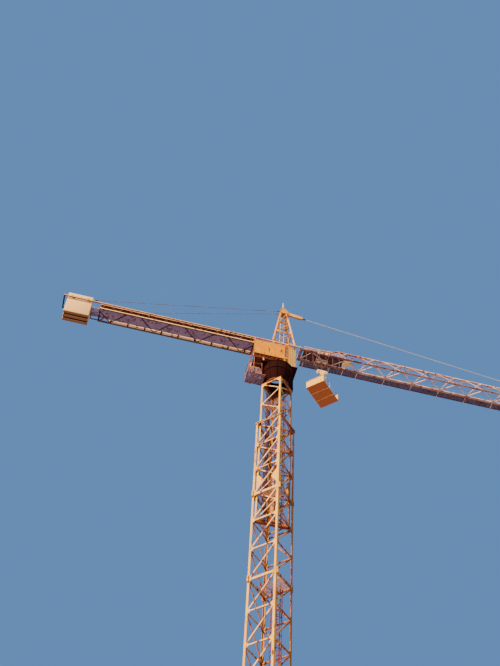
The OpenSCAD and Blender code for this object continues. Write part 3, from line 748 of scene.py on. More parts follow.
    def sheave(self, centre: Point, radius: float, width: float, hub: float) -> None:
        """Adds a grooved rope sheave with a thin web, its axis across the jib.

        Args:
            centre: The middle of the sheave.
            radius: Its outer radius.
            width: Its width over the rim.
            hub: Radius of its hub.
        """
        half, web, rim = width / 2, width / 5, radius * 0.8
        side = [(hub * 0.6, half), (hub, half), (hub, web), (rim, web), (rim + 0.1 * radius, half),
                (radius, half), (radius * 0.88, half * 0.25)]
        back = [(r, -h) for r, h in reversed(side)]
        self.turned(side + back, centre, ACROSS, 36, True)

    def bolts(self, places: Iterable[Point], axis: Vector, size: float) -> None:
        """Adds hexagon bolt heads on washers.

        Args:
            places: Where the heads stand.
            axis: The direction that they stand out in.
            size: Half the width of a head.
        """
        for foot in (Vector(place) for place in places):
            washer = foot + axis * size * 0.25
            self.rod(foot - axis * 0.002, washer, size * 1.35, 12)
            self.rod(washer, foot + axis * size, size, 6)

    def grating(self, first: Point, last: Point, pitch: tuple[float, float], bar: float) -> None:
        """Adds an open floor grating: flat bars both ways inside a flat rim.

        Args:
            first: Its lowest corner.
            last: Its highest corner.
            pitch: Distance between the bars that lie across X, and between those that lie along X.
            bar: Thickness of a bar.
        """
        (x0, y0, z0), (x1, y1, z1) = first, last
        for y in (y0, y1 - bar):
            self.brick((x0, y, z0), (x1, y + bar, z1))
        for x in (x0, x1 - bar):
            self.brick((x, y0, z0), (x + bar, y1, z1))
        rows = round((y1 - y0) / pitch[1])
        for k in range(1, rows):
            y = y0 + (y1 - y0) * k / rows
            self.brick((x0, y - bar / 2, z0 + 0.002), (x1, y + bar / 2, z1 - 0.002))
        count = round((x1 - x0) / pitch[0])
        for k in range(1, count):
            x = x0 + (x1 - x0) * k / count
            self.brick((x - bar / 2, y0, z0 + 0.006), (x + bar / 2, y1, z1))

    def done(self, *replaced: str, smooth: bool = False) -> bpy.types.Object:
        """Turns the shape into an object that rides on its body.

        Args:
            replaced: CAD nodes that the piece stands for.
            smooth: Whether round faces are shaded smoothly.

        Returns:
            The finished object.
        """
        bmesh.ops.recalc_face_normals(self.mesh, faces=list(self.mesh.faces))
        data = bpy.data.meshes.new(self.name)
        self.mesh.to_mesh(data)
        self.mesh.free()
        if smooth:
            data.shade_smooth()
            data.set_sharp_from_angle(angle=SMOOTH)
        data.materials.append(self.finish.make())
        made = bpy.data.objects.new(self.name, data)
        bpy.context.scene.collection.objects.link(made)
        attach(made, self.body.value)
        if replaced:
            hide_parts(*replaced)
        LOG.info("%s: %d faces on %s", self.name, len(data.polygons), self.body.value)
        return made


# Sub-assemblies


@dataclass
class LatticeMast:
    """Gussets, corner plates and a conduit on a square lattice mast that stands corner-on to the jib."""

    half: float
    leg: float
    angle_t: float
    foot: float
    bays: int
    pitch: float
    body: Body
    gusset: float = 0.13
    gusset_t: float = 0.008
    zigzag: bool = False
    clip_pitch: float = 0.45
    clip_h: float = 0.09

    def nodes(self, k: int, s: int) -> list[float]:
        """Counts, in bays above the foot, where lacing meets a post.

        Args:
            k: The mast's side.
            s: Which of the side's two posts, -1 or 1.

        Returns:
            The bays: whole ones, or halves between the ends on the other post of a zigzag.
        """
        if self.zigzag and s != (-1 if k % 2 else 1):
            return [0.0, *(bay + 0.5 for bay in range(self.bays)), float(self.bays)]
        return [float(bay) for bay in range(self.bays + 1)]

    def gussets(self, name: str) -> None:
        """Adds a gusset plate wherever lacing meets a post.

        Args:
            name: The name of the piece that they make up.
        """
        piece = Piece(name, MAST_CREAM, self.body)
        skin = -(self.half - self.angle_t + self.gusset_t / 2)
        edge = self.half - self.leg
        inner = edge - self.gusset
        tall = self.gusset * 1.25
        for k, s in product(range(4), SIDES):
            for level in self.nodes(k, s):
                up = 0 if level == self.bays else tall
                down = 0 if level == 0 else tall
                outline = [(s * edge, -down), (s * inner, -down * 0.35),
                           (s * inner, up * 0.35), (s * edge, up)]
                place = upright((0, skin, self.foot + level * self.pitch), mast_side(k))
                piece.plate(outline, self.gusset_t, place)
        piece.done()

    def conduit(self, name: str, foot: float, top: float, width: float) -> None:
        """Clips a square cable conduit into the corner of the post nearest the jib.

        Args:
            name: How the pieces' names begin.
            foot: Height of its lower end.
            top: Height of its upper end.
            width: How wide it is.
        """
        x = (self.half - self.angle_t - width / 2 - 0.003) * math.sqrt(2)
        tube = Piece(f"{name}_conduit", RED_OXIDE, self.body)
        tube.beam((x, 0, foot), (x, 0, top), width, turn=CORNER_ON)
        tube.done()
        clips = Piece(f"{name}_conduit_clips", MAST_CREAM, self.body)
        for k in range(int((top - foot) / self.clip_pitch)):
            z = foot + 0.2 + self.clip_pitch * k
            clips.beam((x - 0.004, 0, z), (x - 0.004, 0, z + self.clip_h), width + 0.004, turn=CORNER_ON)
        clips.done()

    def corner_plates(self, piece: Piece, z: float, reach: float, drop: float, rise: float = 0.0) -> None:
        """Adds big triangular plates in both corners of every side.

        Args:
            piece: The piece that takes them.
            z: Height of their tips.
            reach: How far they reach towards the middle of the side.
            drop: How far they run down the post.
            rise: How far they run up the post.
        """
        edge = self.half - self.leg
        # They lie 9 mm off the angle's inner face, clear of the other mast's guide pads.
        skin = -(self.half - self.angle_t + 0.009)
        for k, s in product(range(4), SIDES):
            outline = [(s * edge, rise), (s * (edge - reach), 0), (s * edge, -drop)]
            piece.plate(outline, self.gusset_t, upright((0, skin, z), mast_side(k)))


@dataclass
class LadderCage:
    """The safety cage round a ladder inside a mast: flat hoops and upright straps."""

    ladder: str
    body: Body
    clear: float = 1.0
    hoop_pitch: float = 0.36
    hoop_r: float = 0.31
    strap: tuple[float, float] = (0.036, 0.008)

    def build(self, name: str) -> None:
        """Bends hoops round the ladder and joins them with upright straps.

        Args:
            name: The name of the piece that they make up.
        """
        a, b = span(self.ladder)
        centre = Vector(((a.x + b.x) / 2, (a.y + b.y) / 2, 0))
        inward = -centre.normalized()
        side = inward.cross(UP)
        wide, thick = self.strap
        piece = Piece(name, RED_OXIDE, self.body)
        bend = [centre + (inward * math.sin(t) + side * math.cos(t)) * self.hoop_r + inward * 0.02
                for t in (math.pi * k / 12 for k in range(13))]
        count = int((b.z - a.z - self.clear - 0.2) / self.hoop_pitch)
        levels = [a.z + self.clear + k * self.hoop_pitch for k in range(count + 1)]
        for z in levels:
            piece.chain([point + UP * z for point in bend], thick, wide)
        for k in range(0, 13, 2):
            turn = math.atan2(side.y, side.x) - math.pi * (6 - k) / 12
            piece.beam(bend[k] + UP * levels[0], bend[k] + UP * levels[-1], wide, thick, turn=turn)
        piece.done()


@dataclass
class Landings:
    """Rest platforms inside a mast, and the supply cable that is clipped beside the ladder."""

    ladder: str
    body: Body
    share: float = 0.62
    slats: int = 9
    slat: tuple[float, float] = (0.034, 0.02)
    cable_r: float = 0.022

    def build(self, name: str, levels: Sequence[float], inner: float) -> None:
        """Lays a slatted landing at each level, on either side in turn, and runs the cable past them all.

        Args:
            name: How the pieces' names begin.
            levels: Heights of the landings.
            inner: Half the clear width between the mast's lattice sides.
        """
        floor = Piece(f"{name}_landings", JACK_BROWN, self.body)
        spin = Matrix.Rotation(CORNER_ON, 3, "Z")
        for k, z in enumerate(levels):
            s = 1 if k % 2 else -1
            for row in range(self.slats):
                x = s * (inner - 0.07 - row * inner * self.share * 2 / self.slats)
                floor.beam(spin @ Vector((x, -inner, z)), spin @ Vector((x, inner, z)), *self.slat)
        floor.done()
        a, b = span(self.ladder)
        middle = Vector(((a.x + b.x) / 2, (a.y + b.y) / 2, 0))
        out = middle.normalized()
        line = middle + out.cross(UP) * 0.3 - out * 0.04
        foot, top = a.z + 0.3, b.z - 0.3
        cable = Piece(f"{name}_cable", RED_OXIDE, self.body)
        cable.hose([line + UP * (foot + (top - foot) * k / 12) + out * 0.012 * (k % 2) for k in range(13)],
                   self.cable_r)
        cable.done(smooth=True)


@dataclass
class FixedMast:
    """The outer mast and its base: gussets, splices, top collar and anchor bolts."""

    leg: float = 0.115
    angle_t: float = 0.016
    sections: int = 4
    bays: int = 3
    splice: tuple[float, float, float] = (0.1, 0.46, 0.012)
    splice_bolts: tuple[float, ...] = (-0.18, -0.07, 0.07, 0.18)
    lug_r: float = 0.05
    lug_h: float = 0.34
    collar_h: float = 0.14
    stud_r: float = 0.016
    anchor_reach: float = 1.35
    anchor_half_gap: float = 0.145
    half_beam: float = 0.08

    @property
    def half(self) -> float:
        """Half the width of the mast over its posts."""
        return high("mast_posts_1").x / math.sqrt(2)

    def joint_levels(self) -> list[float]:
        """Heights where one mast section stands on another."""
        return [low(f"mast_posts_{k}").z for k in range(2, self.sections + 1)]

    def lattice(self, k: int) -> LatticeMast:
        """Mast section k."""
        foot, top = (corner.z for corner in span(f"mast_posts_{k}"))
        return LatticeMast(self.half, self.leg, self.angle_t, foot, self.bays, (top - foot) / self.bays,
                           Body.TOWER)

    def splices(self) -> None:
        """Adds the bolted splice plates and the pin lugs between the sections."""
        plates = Piece("mast_splices", MAST_CREAM, Body.TOWER)
        bolts = Piece("mast_splice_bolts", BOLT_STEEL, Body.TOWER)
        wide, tall, thick = self.splice[0] / 2, self.splice[1] / 2, self.splice[2]
        middle = self.half - self.leg / 2
        r, h = self.lug_r, self.lug_h / 2
        lug_side = [(0, h + 0.03), (r * 0.5, h + 0.03), (r * 0.5, h), (r, h), (r, 0.01)]
        for z, k in product(self.joint_levels(), range(4)):
            spin = Matrix.Rotation(mast_side(k), 4, "Z")
            for s in SIDES:
                plates.plate([(-wide, -tall), (wide, -tall), (wide, tall), (-wide, tall)], thick,
                             upright((s * middle, -self.half - thick / 2, z), mast_side(k)), 0.004)
                heads = [spin @ Vector((s * middle + dx, -self.half - thick, z + dz))
                         for dx in (-0.026, 0.026) for dz in self.splice_bolts]
                bolts.bolts(heads, spin.to_3x3() @ -ACROSS, 0.014)
            lug = spin @ Vector((-self.half + r, -self.half - thick - r, z))
            plates.turned([(x, -y) for x, y in lug_side] + [(r * 0.85, 0)] + lug_side[::-1], lug, UP, 16)
        plates.done(smooth=True)
        bolts.done()

    def collar(self) -> None:
        """Adds the channels round the mast's top, which hold the guides of the inner mast."""
        piece = Piece("mast_top_collar", LACING_OCHRE, Body.TOWER)
        top = high("mast_posts_4").z
        foot, reach = top - self.collar_h, self.half + 0.03
        # Two flanges with the web between them: how far out its middle lies, its height, foot and thickness.
        flats = ((0.025, 0.02, foot, 0.05), (0.025, 0.02, top - 0.02, 0.05),
                 (0.004, self.collar_h, foot, 0.008))
        for k, (out, tall, z, thick) in product(range(4), flats):
            piece.plate([(-reach, 0), (reach, 0), (reach, tall), (-reach, tall)], thick,
                        upright((0, -self.half - out, z), mast_side(k)))
        piece.done()

    def base(self) -> None:
        """Adds anchor studs with their nuts, and the webs that stiffen the shoes."""
        studs = Piece("anchor_studs", BOLT_STEEL, Body.TOWER)
        webs = Piece("base_webs", LACING_OCHRE, Body.TOWER)
        plate_top = high("base_plate").z
        rise = high("base_cross").z - plate_top - 0.01
        shoe = high("base_shoes").x - 0.13
        # Washer, nut and lock nut: how high each starts and ends, its radius and its faces.
        fasteners = ((0, 0.006, 2.2, 16), (0.006, 0.034, 1.7, 6), (0.036, 0.058, 1.7, 6))
        for k, s in product(range(4), SIDES):
            spin = Matrix.Rotation(QUARTER * k, 4, "Z")
            foot = spin @ Vector((self.anchor_reach, s * self.anchor_half_gap, 0.002))
            nut = Vector((foot.x, foot.y, plate_top))
            studs.rod(foot, nut + UP * 0.11, self.stud_r, 10)
            for start, end, share, sides in fasteners:
                studs.rod(nut + UP * start, nut + UP * end, self.stud_r * share, sides)
            for x in (shoe - 0.1, shoe + 0.1):
                corner = Matrix.Translation((x, s * self.half_beam, plate_top))
                place = spin @ corner @ upright((0, 0, 0), QUARTER)
                web = [(0, 0), (s * 0.12, 0), (s * 0.12, 0.03), (s * 0.03, rise), (0, rise)]
                webs.plate(web, 0.012, place)
        studs.done()
        webs.done()

    def build(self) -> None:
        """Builds all that the fixed mast carries."""
        for k in range(1, self.sections + 1):
            self.lattice(k).gussets(f"mast_gussets_{k}")
        LadderCage("mast_ladder", Body.TOWER).build("mast_ladder_cage")
        clear = self.half - self.angle_t - 0.06
        Landings("mast_ladder", Body.TOWER).build("mast", self.joint_levels()[:2], clear)
        self.lattice(1).conduit("mast", 0.6, high("mast_posts_4").z - 0.05, 0.058)
        self.splices()
        self.collar()
        self.base()


@dataclass
class ClimbingMast:
    """The inner mast: gussets, corner plates, the round foot beam, the jack and the cable tray."""

    leg: float = 0.10
    angle_t: float = 0.014
    bays: int = 6
    plate_level: float = 1.5
    plate_reach: float = 0.34
    beam_r: float = 0.1
    collars: tuple[float, ...] = (-0.62, -0.3, 0.3, 0.62)
    tray_half: float = 0.2

    def lattice(self) -> LatticeMast:
        """Works out the inner mast's one long lattice.

        Returns:
            The lattice.
        """
        foot, top = (corner.z for corner in span("inner_posts"))
        half, pitch = high("inner_posts").x / math.sqrt(2), (top - foot) / self.bays
        return LatticeMast(half, self.leg, self.angle_t, foot, self.bays, pitch, Body.INNER,
                           gusset=0.11, zigzag=True)

    def plates(self) -> None:
        """Adds the big corner plates above the lifting beam and under the head plate."""
        lattice = self.lattice()
        piece = Piece("inner_corner_plates", MAST_CREAM, Body.INNER)
        level = lattice.foot + self.plate_level * lattice.pitch
        lattice.corner_plates(piece, level, self.plate_reach, 0.5, 0.5)
        lattice.corner_plates(piece, high("inner_posts").z, self.plate_reach, 0.33)
        piece.done()

    def foot_beam(self) -> None:
        """Adds the round lifting beam with its collars and end shoes."""
        a, b = span("inner_foot_beam")
        z, r, reach = (a.z + b.z) / 2, self.beam_r, b.x
        tube, end = r * 0.88, r * 0.7
        piece = Piece("foot_beam_tube", RED_OXIDE, Body.INNER)
        profile = [(0, -reach), (end, -reach), (end, -reach + 0.05), (tube, -reach + 0.06)]
        for c in self.collars:
            profile += [(tube, c - 0.03), (r, c - 0.025), (r, c + 0.025), (tube, c + 0.03)]
        profile += [(tube, reach - 0.06), (end, reach - 0.05), (end, reach), (0, reach)]
        piece.turned(profile, (0, 0, z), ALONG, 24)
        for s in SIDES:
            piece.brick((s * reach, -r, z - r), (s * (reach - 0.03), r, b.z), 0.01)
            piece.brick((s * 0.86, -0.06, z), (s * 0.9, 0.06, b.z), 0.004)
        piece.done("inner_foot_beam", smooth=True)

    def jack(self) -> None:
        """Adds the climbing jack that stands on the lifting beam, with its collars and its rod."""
        profile = [(0, 0), (0.2, 0), (0.2, 0.04), (0.15, 0.06)]
        for foot in (0.3 + 0.48 * k for k in range(4)):
            profile += [(0.15, foot), (0.17, foot + 0.01), (0.17, foot + 0.06), (0.15, foot + 0.07)]
        profile += [(0.15, 1.96), (0.12, 2.0), (0.075, 2.02), (0.075, 3.6),
                    (0.1, 3.62), (0.1, 3.8), (0, 3.8)]
        piece = Piece("climbing_jack", JACK_BROWN, Body.INNER)
        piece.turned(profile, (0, 0, high("inner_foot_beam").z), UP, 24)
        piece.done(smooth=True)

    def tray(self) -> None:
        """Adds the cable tray on the back left side: channels, close cross flats and cables."""
        lattice = self.lattice()
        spin = Matrix.Rotation(CORNER_ON, 3, "Z")
        depth = lattice.half - self.angle_t - 0.1
        foot, top = lattice.foot + 0.3, high("inner_posts").z - 0.2
        half = self.tray_half
        steel = Piece("inner_cable_tray", JACK_BROWN, Body.INNER)
        for x in (-half, half):
            steel.beam(spin @ Vector((x, depth, foot)), spin @ Vector((x, depth, top)), 0.05, turn=CORNER_ON)
        steel.row(steel.beam, int((top - foot) / 0.22), UP * 0.22, spin @ Vector((-half, depth, foot)),
                  spin @ Vector((half, depth, foot)), 0.012, 0.05)
        steel.done()
        cables = Piece("inner_cable_bundle", RED_OXIDE, Body.INNER)
        for x in (-0.1, 0.0, 0.09):
            path = [Vector((x + 0.01 * (k % 2), depth - 0.03, foot + (top - foot) * k / 9))
                    for k in range(10)]
            cables.hose([spin @ point for point in path], 0.016)
        cables.done(smooth=True)

    def build(self) -> None:
        """Builds all that the inner mast carries."""
        self.jack()
        self.tray()
        lattice = self.lattice()
        lattice.gussets("inner_gussets")
        LadderCage("inner_ladder", Body.INNER).build("inner_ladder_cage")
        levels = [lattice.foot + k * lattice.pitch + 0.04 for k in (1, 3, 5)]
        Landings("inner_ladder", Body.INNER).build("inner", levels, lattice.half - self.angle_t - 0.05)
        lattice.conduit("inner", lattice.foot + 0.1, high("inner_posts").z - 0.1, 0.038)
        self.plates()
        self.foot_beam()


@dataclass
class SlewingGear:
    """The turning pedestal, the service platform behind it, and what stands on the deck and the frame."""

    ring_bolts: int = 36
    bolt_circle: float = 0.63
    ribs: int = 12
    rib_t: float = 0.012
    rib_out: float = 0.045
    ring_r: float = 0.74
    drum_r: float = 0.98
    ring_h: float = 0.092
    cone_h: float = 0.7
    side: float = 0.43
    back: float = -1.7
    rail_r: float = 0.018
    rails: tuple[float, float] = (0.5, 0.98)
    mesh_pitch: float = 0.045
    mesh_bar: float = 0.02
    motors: tuple[float, ...] = (-0.62, 0.62)

    def pedestal(self) -> None:
        """Adds stiffening ribs on the pedestal and both circles of ring bolts."""
        foot, top = (corner.z for corner in span("slew_pedestal"))
        ring, knee = foot + self.ring_h, foot + self.ring_h + self.cone_h
        r, out = self.drum_r, self.drum_r + self.rib_out
        ribs = Piece("pedestal_ribs", MAROON_WITH_PAINTED_SHADE)
        outline = [(self.ring_r, ring), (self.ring_r + self.rib_out, ring), (out, knee), (out, top - 0.04),
                   (r - 0.01, top - 0.01), (r - 0.01, knee)]
        for k in range(self.ribs):
            ribs.plate(outline, self.rib_t, upright((0, 0, 0), math.tau * (k + 0.5) / self.ribs))
        for z in (knee - 0.015, top - 0.03):
            hoop = [(r, z), (r + 0.03, z), (r + 0.03, z + 0.03), (r, z + 0.03)]
            ribs.turned(hoop, (0, 0, 0), UP, 48, True)
        ribs.done(smooth=True)
        turns = [math.tau * k / self.ring_bolts for k in range(self.ring_bolts)]
        circle = [(self.bolt_circle * math.cos(turn), self.bolt_circle * math.sin(turn)) for turn in turns]
        upper = Piece("slewing_ring_bolts", BOLT_STEEL)
        upper.bolts([(x, y, ring) for x, y in circle], UP, 0.018)
        upper.done()
        # Under the head plate, the mast's posts take the places of the bolts that lie furthest out.
        lower = Piece("head_plate_bolts", BOLT_STEEL, Body.INNER)
        lower.bolts([(x, y, low("mast_head").z) for x, y in circle if max(abs(x), abs(y)) < 0.6], -UP, 0.018)
        lower.done()

    def platform(self) -> None:
        """Adds the service platform: floor bearers, posts, rails and hangers."""
        a, b = span("service_platform")
        steel = Piece("service_platform_steel", PLATFORM_BROWN)
        x0, post, rail = a.x, self.back + 0.06, a.z + 0.03 + self.rails[1]
        for s in SIDES:
            y, corner = s * self.side, s * 0.48
            steel.beam((x0, y, a.z + 0.02), (b.x, y, a.z + 0.02), 0.04, 0.05)
            for x in (x0 + 0.02, post):
                steel.beam((x, y, a.z), (x, y, a.z + 1.03), 0.04)
            steel.beam((post, corner, a.z), (post, corner, b.z), 0.04)
            steel.brick((self.back, s * 0.5, a.z), (self.back + 0.08, s * 0.41, a.z + 0.03))
            steel.beam((-1.12, y, a.z), (-1.12, y, low("slew_deck").z), 0.04)
            for z in (a.z + 0.03 + height for height in self.rails):
                steel.rod((x0, y, z), (-1.1, y, z), self.rail_r)
            steel.beam((x0 + 0.02, y, rail), (post, corner, b.z), 0.03)
        for x in (x0 + 0.02, -1.55, -1.02, b.x - 0.02):
            steel.beam((x, -self.side, a.z + 0.02), (x, self.side, a.z + 0.02), 0.04)
        for z in (a.z + 0.03 + height for height in self.rails):
            steel.rod((x0 + 0.02, -self.side, z), (x0 + 0.02, self.side, z), self.rail_r)
        steel.done("service_platform", smooth=True)

    def platform_mesh(self) -> None:
        """Adds the platform's floor grating, the open mesh on three sides and two plates behind it."""
        a, b = span("service_platform")
        floor, x0, side = a.z + 0.03, a.x, self.side
        foot, pitch, bar = floor + 0.04, self.mesh_pitch, self.mesh_bar
        rows, columns = 11, 19
        head, end = foot + (rows - 1) * pitch, (columns - 1) / 2 * pitch
        mesh = Piece("service_platform_mesh", DECK_GREY_AND_SHADE)
        mesh.grating((x0 + 0.04, -side + 0.02, floor - 0.022), (b.x - 0.02, side - 0.02, floor),
                     (0.04, 0.05), 0.016)
        for y in (-side, side):
            start = (x0 + 0.04, y, foot)
            mesh.row(mesh.beam, rows, UP * pitch, start, (-1.14, y, foot), bar)
            mesh.row(mesh.beam, int((-1.16 - x0) / pitch), ALONG * pitch, start, (x0 + 0.04, y, head), bar)
        x = x0 + 0.02
        mesh.row(mesh.beam, rows, UP * pitch, (x, -side, foot), (x, side, foot), bar)
        mesh.row(mesh.beam, columns, ACROSS * pitch, (x, -end, foot), (x, -end, head), bar)
        mesh.done()
        plate = Piece("platform_back_plate", MAROON_WITH_PAINTED_SHADE)
        plate.brick((x0 + 0.05, -0.02, floor + 0.004), (b.x - 0.03, side - 0.03, floor + 0.012))
        plate.brick((self.back + 0.1, 0.38, floor + 0.004), (-1.16, 0.4, floor + 0.9))
        plate.done()

    def drives(self) -> None:
        """Adds the slewing motors that stand on the deck, and the dark electric cabinet."""
        top = high("slew_deck").z
        profile = [(0, 0), (0.11, 0), (0.11, 0.05), (0.085, 0.06), (0.085, 0.12)]
        for z in (0.13 + 0.035 * k for k in range(6)):
            profile += [(0.1, z), (0.1, z + 0.016), (0.086, z + 0.018), (0.086, z + 0.033)]
        profile += [(0.095, 0.345), (0.07, 0.39), (0, 0.395)]
        piece = Piece("slewing_motors", WINCH_GREY)
        for x in self.motors:
            piece.turned(profile, (x, -0.28, top), UP, 20)
        piece.done(smooth=True)
        cabinet = Piece("electric_cabinet", MAROON_WITH_PAINTED_SHADE)
        cabinet.brick((-0.4, -0.45, top), (0.18, -0.18, top + 0.4), 0.012, 2)
        cabinet.brick((-0.42, -0.47, top + 0.4), (0.2, -0.16, top + 0.42), 0.006)
        cabinet.beam((-0.11, -0.452, top + 0.03), (-0.11, -0.452, top + 0.38), 0.012, 0.01)
        cabinet.done()

    def frame_floor(self) -> None:
        """Adds the joisted floor between the frame's beams, a near-black sheet on the near beam's web as
        painted shade, and the power pack.
        """
        a, b = span("slew_frame")
        beam_z = high("slew_deck").z + 0.56
        # A near-black sheet on the near beam's web, between its flanges: painted shade.
        dark = Piece("lower_beam_web_shade", MAROON_WITH_PAINTED_SHADE)
        dark.brick((a.x + 0.01, -b.y - 0.003, beam_z - 0.1), (0.2, -b.y, beam_z + 0.1))
        dark.done()
        floor = Piece("frame_floor", RED_OXIDE)
        level, x = beam_z - 0.12, a.x + 0.06
        floor.brick((a.x + 0.04, -0.46, level), (0.2, 0.36, level + 0.008))
        floor.row(floor.brick, 9, ALONG * 0.13, (x, -0.46, level - 0.03), (x + 0.02, 0.36, level), 0.003)
        floor.done()
        pack = Piece("power_pack", MAROON_WITH_PAINTED_SHADE)
        pack.brick((0.78, 0.3, a.z - 1.2), (1.12, 0.66, a.z - 0.062), 0.02, 2)
        pack.brick((0.76, 0.28, a.z - 1.0), (1.14, 0.68, a.z - 0.97), 0.004)
        pack.done()

    def frame_cleats(self) -> None:
        """Adds flanges, cleats and bolted end plates to the frame that carries the girders."""
        a, b = span("slew_frame")
        beam_z = high("slew_deck").z + 0.56
        cleats = Piece("frame_cleats", RED_OXIDE)
        bolts = Piece("frame_bolts", BOLT_STEEL)
        for z in (beam_z - 0.105, beam_z + 0.105):
            cleats.brick((a.x, -b.y - 0.012, z - 0.02), (0.21, -b.y, z + 0.02), 0.004)
        for s in SIDES:
            x = a.x + 0.06
            cleats.row(cleats.brick, 7, ALONG * 0.27, (x, s * (b.y - 0.002), beam_z - 0.035),
                       (x + 0.16, s * (b.y + 0.012), beam_z + 0.035), 0.006)
            for x, z in product((-1.05, 0.18), (a.z + 0.06, b.z - 0.16)):
                cleats.brick((x - 0.075, s * 0.54, z - 0.06), (x + 0.075, s * 0.552, z + 0.06), 0.004)
                heads = [(x + dx, s * 0.552, z + dz) for dx in (-0.05, 0.05) for dz in (-0.035, 0.035)]
                bolts.bolts(heads, ACROSS * s, 0.011)
        cleats.done()
        bolts.done()

    def build(self) -> None:
        """Builds the fittings of the slewing part."""
        self.pedestal()
        self.platform()
        self.platform_mesh()
        self.frame_floor()
        self.frame_cleats()
        self.drives()


@dataclass
class CabAndPanel:
    """The operator's cab and the plain yellow panel beside it."""

    glass_t: float = 0.006
    trim: float = 0.022
    rib_w: float = 0.03
    rib_t: float = 0.01
    sill: float = 0.9
    lintel: float = 1.9
    pane: tuple[float, float] = (0.05, 0.23)
    door: tuple[float, float] = (0.12, 0.66)

    def outline(self) -> list[tuple[float, float]]:
        """The cab's plan, from its near left corner round to that corner again."""
        a, b = span("operator_cab")
        return [(a.x, a.y), (a.x + 0.26, a.y), (b.x, a.y + 0.25), (b.x, b.y), (a.x, b.y), (a.x, a.y)]

    def window(self, rubber: Piece, glass: Piece, corners: Sequence[Point], normal: Vector) -> None:
        """Adds one pane with its rubber seal.

        Args:
            rubber: The piece that takes the seal.
            glass: The piece that takes the pane.
            corners: The four corners of the opening, in order round it.
            normal: The direction out of the cab.
        """
        seal = [Vector(corner) + normal * 0.004 for corner in (*corners, corners[0])]
        rubber.chain(seal, self.trim, self.trim, 0.005)
        inner = -normal * 0.012
        glass.brick(Vector(corners[0]) + inner, Vector(corners[2]) + inner - normal * self.glass_t)

    def windows(self) -> None:
        """Adds the near and the front window."""
        a, b = span("operator_cab")
        rubber = Piece("cab_window_rubber", RUBBER)
        glass = Piece("cab_glass", CAB_GLASS)
        z0, z1 = a.z + self.sill, a.z + self.lintel
        x0, x1 = (a.x + x for x in self.pane)
        near = [(x0, a.y, z0), (x1, a.y, z0), (x1, a.y, z1), (x0, a.y, z1)]
        front = [(b.x, -0.22, z0), (b.x, 0.36, z0), (b.x, 0.36, z1), (b.x, -0.22, z1)]
        self.window(rubber, glass, near, -ACROSS)
        self.window(rubber, glass, front, ALONG)
        rubber.done()
        glass.done()

    def louvres(self) -> None:
        """Adds the louvres under the near window, and the strip over it."""
        a = low("operator_cab")
        x0, x1 = (a.x + x for x in self.pane)
        louvres = Piece("cab_louvres", RUBBER)
        y, z = a.y - 0.004, a.z + 0.34
        louvres.row(louvres.beam, 9, UP * 0.05, (x0, y, z), (x1, y, z), 0.016, 0.024, 0.003)
        louvres.beam((x0, y, a.z + 2.03), (x1, y, a.z + 2.03), 0.012, 0.06, 0.003)
        louvres.done()

    def trims(self) -> None:
        """Adds roof and sill trims, corner rods, pressed ribs, the corner panel in painted light and the
        door frame.
        """
        a, b = span("operator_cab")
        plan = self.outline()
        trim = Piece("cab_trim", PANEL_YELLOW)
        for z in (a.z + 0.03, b.z - 0.02):
            trim.chain([(x, y, z) for x, y in plan], 0.03, 0.05, 0.006)
        for x, y in plan[1:]:
            trim.rod((x, y, a.z + 0.01), (x, y, b.z), 0.016, 10)
        first, last = (Vector((*plan[k], 0)) for k in (1, 2))
        out = (last - first).normalized().cross(UP)
        for share in (0.25, 0.5, 0.75):
            foot = first.lerp(last, share) + out * 0.004
            trim.beam(foot + UP * (a.z + 0.08), foot + UP * (b.z - 0.07), self.rib_w, self.rib_t * 2, 0.004,
                      math.atan2(out.y, out.x) + QUARTER)
        for z in (a.z + self.sill - 0.04, a.z + self.lintel + 0.04):
            trim.beam(first + UP * z, last + UP * z, 0.014, 0.03, 0.003)
        # A thin sheet over the corner face in a paler yellow: painted light on the face that turns to the
        # light.
        corner = Piece("cab_corner_panel_painted_light", PALE_YELLOW_WITH_PAINTED_LIGHT)
        middle = UP * (a.z + b.z) / 2
        corner.beam(first.lerp(last, 0.04) + middle, first.lerp(last, 0.96) + middle, 0.006,
                    b.z - a.z - 0.12, 0.002)
        corner.done()
        left, right = (a.x + x for x in self.door)
        for x in (left, right):
            trim.beam((x, b.y, a.z + 0.05), (x, b.y, a.z + 1.98), 0.03, 0.024, 0.004)
        trim.beam((left - 0.015, b.y, a.z + 1.97), (right + 0.015, b.y, a.z + 1.97), 0.03, 0.024, 0.004)
        trim.done(smooth=True)

    def rails_and_lamp(self) -> None:
        """Adds the grab rails at the front and at the door, and the work lamp."""
        a, b = span("operator_cab")
        rails = Piece("cab_grab_rails", WHITE_ENAMEL)
        front = [(0, 0.1), (0.04, 0.1), (0.06, 0.15), (0.06, 0.6),
                 (0.06, 1.2), (0.06, 1.84), (0.04, 1.9), (0, 1.9)]
        rails.hose([(b.x + out, -0.27, a.z + z) for out, z in front], 0.026, 10)
        door = [(0, 0.7), (0.05, 0.72), (0.06, 1.1), (0.05, 1.48), (0, 1.5)]
        rails.hose([(a.x + self.door[1] + 0.06, b.y + out, a.z + z) for out, z in door], 0.014)
        rails.done(smooth=True)
        lamp = Piece("cab_lamp", WHITE_ENAMEL)
        lamp.turned([(0, -0.09), (0.05, -0.085), (0.07, -0.05), (0.075, 0.03), (0.06, 0.05), (0, 0.05)],
                    (b.x + 0.07, 0.2, a.z + 0.3), ALONG, 20)
        lamp.beam((b.x, 0.2, a.z + 0.36), (b.x + 0.07, 0.2, a.z + 0.36), 0.03, 0.02)
        lamp.done(smooth=True)

